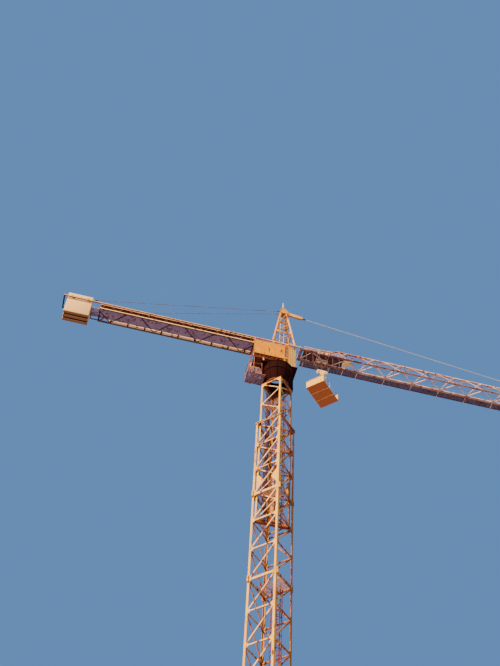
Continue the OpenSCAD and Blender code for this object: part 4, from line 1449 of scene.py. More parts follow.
    def panel(self) -> None:
        """Adds the panel's rim, its sheet seams and its rivets. The panel itself is bare."""
        a, b = span("sign_panel")
        rim = Piece("panel_rim", PANEL_YELLOW)
        corners = [(a.x, a.y, a.z), (b.x, a.y, a.z), (b.x, a.y, b.z), (a.x, a.y, b.z), (a.x, a.y, a.z)]
        rim.chain(corners, 0.03, 0.03, 0.006)
        seams = [a.x + (b.x - a.x) * k / 3 for k in (1, 2)]
        for x in seams:
            rim.beam((x, a.y - 0.002, a.z + 0.02), (x, a.y - 0.002, b.z - 0.02), 0.04, 0.008, 0.002)
        rim.done()
        rivets = Piece("panel_rivets", BOLT_STEEL)
        z, step = a.z + 0.07, UP * (b.z - a.z - 0.14) / 8
        for x in (a.x + 0.05, *seams, b.x - 0.05):
            rivets.row(rivets.rod, 9, step, (x, a.y, z), (x, a.y - 0.012, z), 0.009, 8, 0.005)
        rivets.done(smooth=True)

    def build(self) -> None:
        """Builds the fittings of the cab and the panel."""
        self.windows()
        self.trims()
        self.louvres()
        self.rails_and_lamp()
        self.panel()


@dataclass
class TowerHead:
    """The tower head above the jib: gussets, ladder, head sheave and both sets of ties."""

    middle: float = 0.27
    foot_half: float = 0.72
    top_half: float = 0.2
    foot_y: float = 0.5
    top_y: float = 0.15
    levels: tuple[float, ...] = (0.36, 0.68)
    sheave_pin: tuple[float, float] = (0.2, 0.22)
    jib_pin: tuple[float, float] = (0.6, 0.26)
    counter_pin: tuple[float, float] = (0.07, 0.24)
    tie_wire: float = 0.011
    tie_lay: float = 0.42
    link_y: float = 0.042

    def corner(self, sx: int, sy: int, share: float) -> Vector:
        """A point on one leg at a share of the tower head's height."""
        a, b = span("cathead")
        return Vector((self.middle + sx * (self.foot_half + share * (self.top_half - self.foot_half)),
                       sy * (self.foot_y + share * (self.top_y - self.foot_y)), a.z + share * (b.z - a.z)))

    def gussets(self) -> None:
        """Adds gussets where the bracing meets the legs."""
        piece = Piece("tower_head_gussets", HEAD_OCHRE)
        legs = [(-1, -1), (1, -1), (1, 1), (-1, 1)]
        for k, leg in enumerate(legs):
            for other, share in product((legs[(k + 1) % 4], legs[k - 1]), self.levels):
                here = self.corner(*leg, share)
                across = (self.corner(*other, share) - here).normalized()
                along = (self.corner(*leg, share + 0.05) - here).normalized()
                place = Matrix((across, along, across.cross(along).normalized())).transposed().to_4x4()
                place.translation = here
                piece.plate([(0.04, -0.17), (0.2, -0.03), (0.2, 0.05), (0.04, 0.2)], 0.06, place)
        piece.done()

    def ladder(self) -> None:
        """Adds the narrow ladder inside the tower head."""
        foot, top = (Vector((self.middle, self.corner(1, 1, share).y - 0.1, self.corner(1, 1, share).z))
                     for share in (0.02, 0.97))
        half = ALONG * 0.14
        piece = Piece("tower_head_ladder", WHITE_ENAMEL)
        for side in (-half, half):
            piece.beam(foot + side, top + side, 0.03)
        for rung in (foot.lerp(top, k / 13) for k in range(1, 13)):
            piece.rod(rung - half, rung + half, 0.012, 8)
        piece.done()

    def sheaves(self) -> None:
        """Adds the head sheave and its pins."""
        foot = high("cathead").z
        wheel = Piece("head_sheave", CREAM_ENAMEL)
        wheel.sheave((self.sheave_pin[0], 0, foot + self.sheave_pin[1]), 0.15, 0.05, 0.05)
        wheel.done(smooth=True)
        pins = Piece("head_pins", DARK_STEEL)
        for x, z in (self.sheave_pin, self.jib_pin, self.counter_pin):
            pins.pin((x, 0, foot + z), 0.11, 0.03, (0.083, 0.105, 0.05), 16)
        pins.done()

    def cap(self) -> None:
        """Adds the flats round the head plates and the white rod with its tip."""
        foot = high("cathead").z
        rim = Piece("head_plate_edges", HEAD_OCHRE)
        edge = [(-0.28, 0.05), (-0.28, 0.33), (-0.1, 0.75), (0.06, 0.75), (0.4, 0.33), (0.4, 0.05)]
        for s in SIDES:
            run = [(self.middle + x, s * 0.07, foot + z) for x, z in edge]
            for start, end in zip(run, run[1:]):
                rim.beam(start, end, *((0.016, 0.05) if start[0] == end[0] else (0.05, 0.016)))
            rim.beam((-0.02, s * 0.21, foot + 0.03), (0.6, s * 0.21, foot + 0.03), 0.03, 0.07, 0.004)
        rim.done()
        base = high("cathead_head").z
        top = high("cathead_rod").z - base
        rod = Piece("head_rod", WHITE_ENAMEL)
        rod.turned([(0, 0), (0.06, 0), (0.06, 0.05), (0.045, 0.06), (0.04, 0.08), (0.038, top * 0.5),
                    (0.045, top * 0.51), (0.045, top * 0.56), (0.028, top * 0.57), (0.026, top - 0.08),
                    (0.034, top - 0.07), (0.034, top - 0.02), (0.02, top), (0, top)],
                   (self.middle - 0.02, 0, base), UP, 20)
        rod.done("cathead_rod", smooth=True)

    def socket(self, piece: Piece, start: Vector, end: Vector, radius: float) -> None:
        """Adds a swaged rope socket.

        Args:
            piece: The piece that takes it.
            start: Its mouth, where the rope goes in.
            end: Its eye.
            radius: Its largest radius.
        """
        length = (end - start).length
        shares = ((0, 0), (0.55, 0), (0.7, 0.08), (1, 0.45), (1, 0.75), (0.8, 1), (0, 1))
        profile = [(radius * out, length * along) for out, along in shares]
        piece.turned(profile, start, (end - start).normalized(), 16)

    def jib_tie(self) -> None:
        """Adds the laid rope from the tower head to the jib, with its link plates, sockets and pins."""
        crown = high("cathead").z
        head = Vector((self.jib_pin[0], 0, crown + self.jib_pin[1]))
        link = Vector((1.53, 0, crown + 0.11))
        foot = Vector((high("jib_tie").x - 0.037, 0, low("jib_tie").z + 0.03))
        run = (foot - link).normalized()
        neck = foot - run * 0.2
        plates = Piece("jib_tie_links", HEAD_OCHRE)
        slope, half = (link - head).normalized(), (link - head).length / 2
        tilt = Matrix.Rotation(math.atan2(-slope.z, slope.x), 4, "Y") @ upright((0, 0, 0))
        upper = [(-half - 0.05, 0.06), (-half, 0.13), (-half + 0.1, 0.14), (half - 0.1, 0.15),
                 (half + 0.06, 0.13), (half + 0.12, 0.05)]
        for y in (-self.link_y, self.link_y):
            place = Matrix.Translation((head + link) / 2 + ACROSS * y) @ tilt
            plates.plate([(x, -z) for x, z in upper] + upper[::-1], 0.026, place, 0.004)
        for s in SIDES:
            middle = (neck + foot) / 2 + ACROSS * s * 0.024
            plates.beam(middle - run * 0.14, middle + run * 0.12, 0.018, 0.1, 0.006)
        plates.done()
        ends = Piece("jib_tie_sockets", DARK_STEEL)
        self.socket(ends, link + run * 0.34, link + run * 0.05, 0.05)
        self.socket(ends, neck - run * 0.3, neck, 0.045)
        for point in (link, foot):
            ends.pin(point, 0.055, 0.026, (0.047, 0.06, 0.042))
        ends.done(smooth=True)
        rope = Piece("jib_tie_rope", TIE_BRIGHT)
        rope.strands(link + run * 0.3, neck - run * 0.25, self.tie_wire, self.tie_lay)
        rope.done("jib_tie", smooth=True)

    def counter_ties(self) -> None:
        """Adds the pair of laid ropes to the counter-jib, with their sockets and feet."""
        ropes = Piece("counter_tie_ropes", TIE_STEEL)
        ends = Piece("counter_tie_sockets", DARK_STEEL)
        feet = Piece("counter_tie_feet", HEAD_OCHRE)
        base = low("counter_ties")
        shoe = [(-0.07, -0.07), (0.07, -0.07), (0.06, 0.0), (0.035, 0.045), (-0.035, 0.045), (-0.06, 0.0)]
        for s in SIDES:
            head = Vector((self.counter_pin[0], s * 0.105, high("cathead").z + self.counter_pin[1]))
            foot = Vector((base.x + 0.06, s * 0.5, base.z + 0.07))
            run = (foot - head).normalized()
            self.socket(ends, head + run * 0.3, head + run * 0.02, 0.034)
            self.socket(ends, foot - run * 0.3, foot, 0.034)
            ropes.strands(head + run * 0.26, foot - run * 0.26, self.tie_wire * 0.75, self.tie_lay * 0.8)
            for dy in (-0.024, 0.024):
                feet.plate(shoe, 0.012, upright(foot + ACROSS * dy), 0.002)
            ends.rod(foot - ACROSS * 0.045, foot + ACROSS * 0.045, 0.018)
        ropes.done("counter_ties", smooth=True)
        ends.done(smooth=True)
        feet.done()

    def build(self) -> None:
        """Builds the tower head's fittings and the ties."""
        self.gussets()
        self.ladder()
        self.sheaves()
        self.cap()
        self.jib_tie()
        self.counter_ties()


@dataclass
class Jib:
    """The jib: gussets, section splices, catwalk, winches and the trolley rope."""

    chord_y: float = 0.395
    chord: float = 0.09
    bay: float = 1.9
    gusset: float = 0.15
    gusset_t: float = 0.012
    rope_r: float = 0.007
    rod_r: float = 0.033
    root_stops: tuple[float, ...] = (1.51, 2.2, 3.62, 4.57)
    guard_pitch: float = 0.11
    tip_sheave_r: float = 0.1

    def joints(self) -> list[float]:
        """Where one jib section meets the next."""
        return [low(name).x for name in ("jib_section_1", "jib_section_2", "jib_section_3", "jib_tip")]

    def bottom(self) -> float:
        """Height of the bottom chords' middle."""
        return low("jib_section_1").z + self.chord / 2

    def top(self) -> float:
        """Height of the top chord's middle."""
        return high("jib_section_1").z - self.chord / 2

    def bays(self) -> int:
        """The number of bays in the straight part of the jib."""
        return round((high("jib_tip").x - self.joints()[0]) / self.bay)

    def gussets(self) -> None:
        """Adds level gussets on the bottom chords and upright ones under the top chord."""
        piece = Piece("jib_gussets", JIB_RED)
        last, left = 2 * self.bays(), -self.gusset
        inner, under = self.chord_y - self.chord / 2, self.top() - self.chord / 2
        for k in range(-1, last + 1):
            x = self.joints()[0] + k * self.bay / 2
            right = self.gusset if k < last else 0.0
            edge = -inner if k % 2 else inner
            tip = edge - math.copysign(0.1, edge)
            flat = [(left, edge), (right, edge), (right * 0.4, tip), (left * 0.4, tip)]
            piece.plate(flat, self.gusset_t, Matrix.Translation((x, 0, self.bottom() + 0.028)))
            hung = [(left * 0.8, 0), (right * 0.8, 0), (right * 0.35, -0.119), (left * 0.35, -0.119)]
            for y in (-0.03, 0.03):
                piece.plate(hung, 0.01, upright((x, y, under)))
        piece.done()

    def splices(self) -> None:
        """Adds the bolted flanges where the sections meet."""
        flanges = Piece("jib_flanges", JIB_RED)
        bolts = Piece("jib_flange_bolts", BOLT_STEEL)
        inner, outer = self.chord_y - self.chord / 2, self.chord_y + self.chord / 2
        foot, top = low("jib_section_1").z, self.top()
        for x, side in product(self.joints(), SIDES):
            face = x + side * 0.02
            heads = [(face, y, top + z) for y, z in product((-0.067, 0.067), (-0.065, 0.025))]
            flanges.brick((x, -0.09, top - 0.09), (face, 0.09, top + 0.045), 0.004)
            for s in SIDES:
                start = (x, s * (inner - 0.05), foot + 0.004)
                flanges.brick(start, (face, s * (outer - 0.002), foot + 0.14), 0.004)
                heads += [(face, s * (inner - 0.025), foot + z) for z in (0.03, 0.115)]
            bolts.bolts(heads, ALONG * side, 0.012)
        flanges.done()
        bolts.done()

    def bracing(self) -> None:
        """Adds the pale rods over the zigzag in the jib's bottom plane."""
        piece = Piece("jib_bottom_rods", JIB_CREAM_WITH_PAINTED_LIGHT)
        stops = list(self.root_stops)
        while stops[-1] + self.bay / 2 < high("jib_tip").x:
            stops.append(stops[-1] + self.bay / 2)
        points = [(x, self.chord_y * (-1) ** k, self.bottom()) for k, x in enumerate(stops)]
        for start, end in zip(points, points[1:]):
            piece.rod(start, end, self.rod_r, 10)
        piece.done(smooth=True)

    def catwalk(self) -> None:
        """Adds the open grating along the far side, its toe board and the sleeves of its brackets."""
        a, b = span("catwalk")
        piece = Piece("catwalk_grating", CATWALK_BROWN)
        piece.grating(a, b, (0.04, 0.055), 0.022)
        piece.done("catwalk")
        # The toe boards are near-black: painted shade along the catwalk's edges.
        board = Piece("catwalk_toe_board", MAROON_WITH_PAINTED_SHADE)
        board.brick((a.x, b.y - 0.012, a.z - 0.01), (b.x, b.y, b.z + 0.07), 0.003)
        board.brick((a.x, a.y, a.z - 0.01), (b.x, a.y + 0.01, b.z + 0.02), 0.003)
        board.done()
        arms = Piece("catwalk_arms", JIB_CREAM_WITH_PAINTED_LIGHT)
        start, side = self.joints()[0] + 0.02, self.chord_y + 0.048
        for x in (1.85, 3.64, 4.57, *(start + k * self.bay for k in range(self.bays()))):
            arms.brick((x - 0.003, side, a.z - 0.043), (x + 0.043, b.y - 0.014, a.z - 0.012), 0.006)
        arms.done()

    def root_guard(self) -> None:
        """Adds the rusty guard mesh along the near side of the winch deck, with its two pale rails."""
        deck, end = span("winch_deck")
        x, side = deck.x + 0.04, -self.chord_y + 0.02
        count = int((end.x - deck.x) / self.guard_pitch)
        mesh = Piece("root_guard_mesh", ROOT_BROWN)
        mesh.row(mesh.beam, count, ALONG * self.guard_pitch,
                 (x, side, deck.z + 0.06), (x + 0.05, side, deck.z + 0.42), 0.02, 0.012)
        mesh.done()
        rails = Piece("root_guard_rails", JIB_CREAM_WITH_PAINTED_LIGHT)
        for z in (deck.z + 0.24, deck.z + 0.43):
            rails.beam((deck.x, side, z), (end.x - 0.05, side, z), 0.03, 0.03, 0.004)
        rails.done()

    def root_fittings(self) -> None:
        """Adds the winch deck's slanted brackets, the junction boxes and the cable hoses at the root."""
        deck = low("winch_deck")
        x, z = deck.x + 0.15, deck.z - 0.012
        brackets = Piece("winch_deck_brackets", JIB_CREAM_WITH_PAINTED_LIGHT)
        brackets.row(brackets.beam, 6, ALONG * 0.45, (x, -0.33, z), (x + 0.22, 0.33, z), 0.024, 0.05, 0.004)
        brackets.done()
        boxes = Piece("junction_boxes", CREAM_ENAMEL)
        for x, y, wide, tall in ((1.98, -0.3, 0.16, 0.2), (2.02, 0.24, 0.2, 0.26),
                                 (3.42, -0.26, 0.22, 0.18), (4.16, -0.27, 0.14, 0.24)):
            boxes.brick((x, y, deck.z + 0.03), (x + wide, y + 0.09, deck.z + 0.03 + tall), 0.012, 2)
        boxes.done(smooth=True)
        hoses = Piece("root_cable_hoses", RUBBER)
        thick = [(2.12, -0.26, 0.09), (2.2, -0.3, 0.07), (2.5, -0.31, 0.05), (2.9, -0.3, 0.05),
                 (3.3, -0.3, 0.05), (3.44, -0.26, 0.09)]
        thin = [(3.6, -0.24, 0.08), (3.72, -0.28, 0.06), (3.9, -0.3, 0.05), (4.1, -0.28, 0.07),
                (4.2, -0.24, 0.09)]
        for path, radius in ((thick, 0.016), (thin, 0.014)):
            hoses.hose([(x, y, deck.z + z) for x, y, z in path], radius, 8)
        hoses.done(smooth=True)

    def hoist_winch(self) -> None:
        """Adds the hoist winch: bedplate, bearings, wound drum, gearbox and finned motor."""
        a, b = span("hoist_winch")
        x, z = 2.5, a.z + 0.02
        body = Piece("hoist_winch_body", WINCH_GREY)
        edge = [(0.14, 0), (0.13, 0.04), (0.06, 0.25), (0.03, 0.28)]
        bearing = edge + [(-out, rise) for out, rise in reversed(edge)]
        for y in (-0.16, 0.16):
            body.beam((a.x, y, z), (b.x, y, z), 0.05, 0.04, 0.004)
            body.plate(bearing, 0.022, upright((x, y, z + 0.01)), 0.003)
        body.brick((2.66, -0.1, z + 0.01), (2.78, 0.1, z + 0.25), 0.02, 2)
        fins = [(0, 0), (0.07, 0)]
        for along in (0.02 + 0.028 * k for k in range(9)):
            fins += [(0.075, along), (0.1, along + 0.002), (0.1, along + 0.012), (0.075, along + 0.014)]
        fins += [(0.092, 0.275), (0.092, 0.31), (0.05, 0.33), (0, 0.33)]
        body.turned(fins, (2.78, 0, z + 0.13), ALONG, 24)
        body.brick((2.86, -0.05, z), (3.02, 0.05, z + 0.05), 0.004)
        body.done("hoist_winch", smooth=True)
        drum = Piece("hoist_drum_rope", ROPE_STEEL)
        turns = [(0, -0.15), (0.145, -0.15), (0.145, -0.14), (0.112, -0.138)]
        for y in (-0.13 + 0.0195 * k for k in range(14)):
            turns += [(0.112, y - 0.009), (0.121, y - 0.005), (0.123, y), (0.121, y + 0.005)]
        turns += [(0.112, 0.138), (0.145, 0.14), (0.145, 0.15), (0, 0.15)]
        drum.turned(turns, (x, 0, z + 0.17), ACROSS, 28)
        drum.done(smooth=True)

    def trolley_winch(self) -> None:
        """Adds the trolley winch's housing, its lid and its air slots."""
        a, b = span("trolley_winch")
        # The housing is in the paler yellow, as painted light on its lit faces.
        box = Piece("trolley_winch_housing", PALE_YELLOW_WITH_PAINTED_LIGHT)
        box.brick(a, b - UP * 0.02, 0.025, 2)
        box.brick((a.x - 0.012, a.y - 0.012, b.z - 0.06), (b.x + 0.012, b.y + 0.012, b.z), 0.012, 2)
        for s in SIDES:
            start = (a.x + 0.1, s * 0.197, a.z + 0.06)
            box.row(box.brick, 5, UP * 0.03, start, (b.x - 0.1, s * 0.208, a.z + 0.072), 0.003)
        box.done("trolley_winch", smooth=True)

    def trolley_rope(self) -> None:
        """Adds the endless trolley rope round the sheave at the jib's tip."""
        x, y, z = high("jib_tip").x - 0.3, 0.05, self.bottom() + 0.22
        r = self.tip_sheave_r
        wheel = Piece("tip_sheave", CREAM_ENAMEL)
        wheel.sheave((x, y, z), r + 0.012, 0.04, 0.035)
        wheel.done(smooth=True)
        fork = Piece("tip_sheave_fork", JIB_RED)
        prong = [(-0.04, -0.04), (0.2, -0.23), (0.26, -0.23), (0.26, 0.04), (-0.04, 0.04)]
        for out in (-0.03, 0.03):
            fork.plate(prong, 0.012, upright((x, y + out, z)), 0.002)
        fork.rod((x, y - 0.045, z), (x, y + 0.045, z), 0.018, 12)
        fork.done()
        rope = Piece("trolley_rope", ROPE_STEEL)
        start = high("trolley_winch").x - 0.02
        bend = [(x + r * math.sin(t), y, z + r * math.cos(t)) for t in (math.pi * k / 10 for k in range(11))]
        rope.hose([(start, y, z + r), *bend, (start, y, z - r)], self.rope_r, 6)
        rope.done(smooth=True)

    def build(self) -> None:
        """Builds the jib's fittings."""
        self.gussets()
        self.splices()
        self.bracing()
        self.catwalk()
        self.root_guard()
        self.root_fittings()
        self.hoist_winch()
        self.trolley_winch()
        self.trolley_rope()


@dataclass
class CounterJib:
    """The counter-jib: floor grating, girder gussets and concrete counterweights."""

    rail: float = 0.08
    lacing_bays: int = 18
    gusset: float = 0.11
    slabs: int = 3
    slab_t: float = 0.265
    slab_gap: float = 0.035
    shrink: float = 0.03
    clamp_pitch: float = 1.1

    def floor(self) -> None:
        """Adds the open grating between the girders, and its tail as far as the slabs."""
        a, b = span("counter_floor")
        piece = Piece("counter_floor_grating", DECK_GREY_AND_SHADE)
        piece.grating(a, b, (0.04, 0.05), 0.03)
        piece.done("counter_floor")
        tail = Piece("counter_floor_tail", DECK_GREY_AND_SHADE)
        start, near, far, z = high("counterweights").x + 0.02, a.y + 0.04, b.y - 0.04, a.z - 0.02
        tail.grating((start, a.y, a.z), (a.x, b.y, b.z), (0.05, 0.07), 0.022)
        tail.beam((start, near - 0.02, z), (a.x + 0.1, near - 0.02, z), 0.04)
        tail.beam((start, near, z), (a.x, far, z), 0.024, 0.02)
        tail.beam((start, far, z), (a.x, near, z), 0.024, 0.02)
        tail.done()

    def gussets(self) -> None:
        """Adds small gussets where the lacing meets the chords of both girders."""
        piece = Piece("girder_gussets", GIRDER_BROWN_AND_SHADE)
        a, b = span("counter_girder_near")
        start = low("counter_floor").x - 0.1
        pitch = (b.x - start) / self.lacing_bays
        for s, k in product(SIDES, range(self.lacing_bays + 1)):
            edge, rise = (b.z - self.rail, -0.07) if k % 2 else (a.z + self.rail, 0.07)
            left = -self.gusset if k > 0 else 0.0
            right = self.gusset if k < self.lacing_bays else 0.0
            outline = [(left, 0), (right, 0), (right * 0.4, rise), (left * 0.4 + 0.002, rise)]
            piece.plate(outline, 0.05, upright((start + k * pitch, s * 0.5, edge)))
        piece.done()

    def near_girder(self) -> None:
        """Adds the near girder's flange, its pale strips and a near-black sheet behind its lacing, which is
        painted shade.
        """
        a, b = span("counter_girder_near")
        start, side = low("counter_floor").x - 0.1, a.y + 0.04
        flange = Piece("near_girder_flange", GIRDER_OCHRE)
        flange.brick((start, side - 0.044, b.z - 0.25), (b.x, side + 0.03, b.z - 0.19), 0.005)
        flange.done()
        pale = Piece("near_girder_strips", GIRDER_CREAM)
        pale.brick((a.x, side - 0.046, b.z - 0.078), (b.x, side - 0.036, b.z - 0.03), 0.003)
        pale.brick((start, side - 0.046, a.z + 0.004), (b.x, side - 0.034, a.z + 0.076), 0.003)
        pale.done()
        # A near-black sheet behind the lacing: painted shade between the chords.
        web = Piece("near_girder_shade_sheet", MAROON_WITH_PAINTED_SHADE)
        web.brick((start + 0.02, side - 0.006, a.z + 0.07), (b.x - 0.01, side + 0.006, b.z - 0.07))
        web.done()

    def far_girder(self) -> None:
        """Adds the far girder's toe board with its clamps, and its dark tail."""
        a, b = span("counter_girder_near")
        start, stop = low("counter_floor").x + 0.6, high("counter_floor").x - 0.03
        board = Piece("far_toe_board", GIRDER_CREAM)
        board.brick((start, 0.42, a.z + 0.03), (stop, 0.45, a.z + 0.27), 0.006)
        board.brick((start, 0.33, a.z + 0.075), (stop, 0.42, a.z + 0.09))
        board.done()
        tail = Piece("far_girder_tail", GIRDER_BROWN_AND_SHADE)
        x, z = high("counterweights").x + 0.02, a.z + 0.05
        tail.beam((x, 0.46, z), (start, 0.46, z), 0.05, 0.07, 0.004)
        tail.brick((x + 0.01, 0.44, a.z + 0.02), (x + 0.07, 0.48, b.z - 0.07))
        tail.done()
        clamps = Piece("toe_board_clamps", MAROON_WITH_PAINTED_SHADE)
        count, x = int((stop - start) / self.clamp_pitch) + 1, start + 0.1
        clamps.row(clamps.brick, count, ALONG * self.clamp_pitch,
                   (x, 0.3, a.z - 0.004), (x + 0.07, 0.46, a.z + 0.285), 0.006)
        clamps.done()

    def weights(self) -> None:
        """Adds the cast slabs with softened edges, a near-black sheet in each gap between them as painted
        shade, and their lifting eyes.
        """
        a, b = span("counterweights")
        pitch, shrink = self.slab_t + self.slab_gap, self.shrink
        slabs = Piece("counterweight_slabs", CONCRETE)
        eyes = Piece("lifting_eyes", DARK_STEEL)
        for y in (a.y + k * pitch for k in range(self.slabs)):
            slabs.brick((a.x, y + shrink, a.z), (b.x, y + self.slab_t - shrink, b.z - 0.06), 0.045, 3)
            for x in (a.x + 0.35, b.x - 0.35):
                loop = [(x + 0.06 * math.cos(t), y + self.slab_t / 2, b.z - 0.075 + 0.062 * math.sin(t))
                        for t in (math.pi * n / 8 for n in range(9))]
                eyes.hose(loop, 0.012, 8)
        slabs.done("counterweights", smooth=True)
        # A near-black sheet in each gap between the slabs: painted shade.
        gap_shade_sheets = Piece("slab_gap_shade", MAROON_WITH_PAINTED_SHADE)
        start = (a.x + 0.03, a.y + self.slab_t - shrink, a.z + 0.03)
        end = (b.x - 0.03, a.y + pitch + shrink, b.z - 0.12)
        gap_shade_sheets.row(gap_shade_sheets.brick, self.slabs - 1, ACROSS * pitch, start, end)
        gap_shade_sheets.done()
        eyes.done(smooth=True)

    def build(self) -> None:
        """Builds the counter-jib's fittings."""
        self.floor()
        self.gussets()
        self.near_girder()
        self.far_girder()
        self.weights()


@dataclass
class Trolley:
    """The jib trolley: rail wheels, rope sheaves and the four falls of hoist rope."""

    wheel_r: float = 0.05
    sheave_r: float = 0.165
    sheave_w: float = 0.06
    hub_r: float = 0.045
    rope_r: float = 0.009

    @property
    def middle(self) -> float:
        """Where the trolley stands along the jib."""
        return (low("trolley_frame").x + high("trolley_frame").x) / 2

    def wheels(self) -> None:
        """Adds the four wheels with their hubs and axles."""
        piece = Piece("trolley_rail_wheels", DARK_STEEL, Body.TROLLEY)
        a, b = span("trolley_wheels")
        r = self.wheel_r
        profile = [(0, 0), (r * 0.92, 0), (r, 0.006), (r, 0.042), (r * 0.92, 0.048), (r * 0.7, 0.048),
                   (r * 0.66, 0.036), (r * 0.4, 0.036), (r * 0.4, 0.06), (0, 0.06)]
        for s, x in product(SIDES, (a.x + r, b.x - r)):
            piece.turned(profile, (x, s * 0.446, (a.z + b.z) / 2), ACROSS * s, 24)
        piece.done("trolley_wheels", smooth=True)

    def sheaves(self) -> None:
        """Adds the two trolley sheaves on their pins."""
        a, b = span("trolley_sheaves")
        z = (a.z + b.z) / 2
        wheels = Piece("trolley_rope_sheaves", CREAM_ENAMEL, Body.TROLLEY)
        pins = Piece("trolley_sheave_pins", DARK_STEEL, Body.TROLLEY)
        for x in (a.x + self.sheave_r, b.x - self.sheave_r):
            wheels.sheave((x, 0, z), self.sheave_r, self.sheave_w, self.hub_r)
            pins.pin((x, 0, z), 0.06, 0.026, (0.052, 0.064, 0.04))
        wheels.done("trolley_sheaves", smooth=True)
        pins.done(smooth=True)

    def fittings(self) -> None:
        """Adds the axle caps and the frame's corner bolts."""
        piece = Piece("trolley_axle_caps", BOLT_STEEL, Body.TROLLEY)
        a, b = span("trolley_wheels")
        side, z = high("trolley_frame").y, (a.z + b.z) / 2
        level = low("trolley_frame").z + 0.09
        for s in SIDES:
            for x in (a.x + self.wheel_r, b.x - self.wheel_r):
                piece.rod((x, s * side, z), (x, s * (side + 0.014), z), 0.03, 12, bevel=0.003)
            heads = [(self.middle + x, s * side, level) for x in (-0.38, -0.34, 0.34, 0.38)]
            piece.bolts(heads, ACROSS * s, 0.009)
        piece.done(smooth=True)

    def falls(self) -> None:
        """Adds the four falls of rope, which lengthen as the hook block goes down."""
        piece = Piece("hoist_rope_falls", ROPE_STEEL, Body.TROLLEY)
        a, b = span("rope_falls")
        reach = (b.x - a.x) / 2 - 0.008
        gap = reach - 2 * self.sheave_r - 0.016
        for x in (self.middle + out for out in (-reach, -gap, gap, reach)):
            piece.rod((x, 0, b.z), (x, 0, a.z), self.rope_r, 10)
        made = piece.done("rope_falls", smooth=True)
        world = made.matrix_world.copy()
        made.parent = None
        made.matrix_world = world
        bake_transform(made)

    def build(self) -> None:
        """Builds the trolley and its ropes."""
        self.wheels()
        self.sheaves()
        self.fittings()
        self.falls()


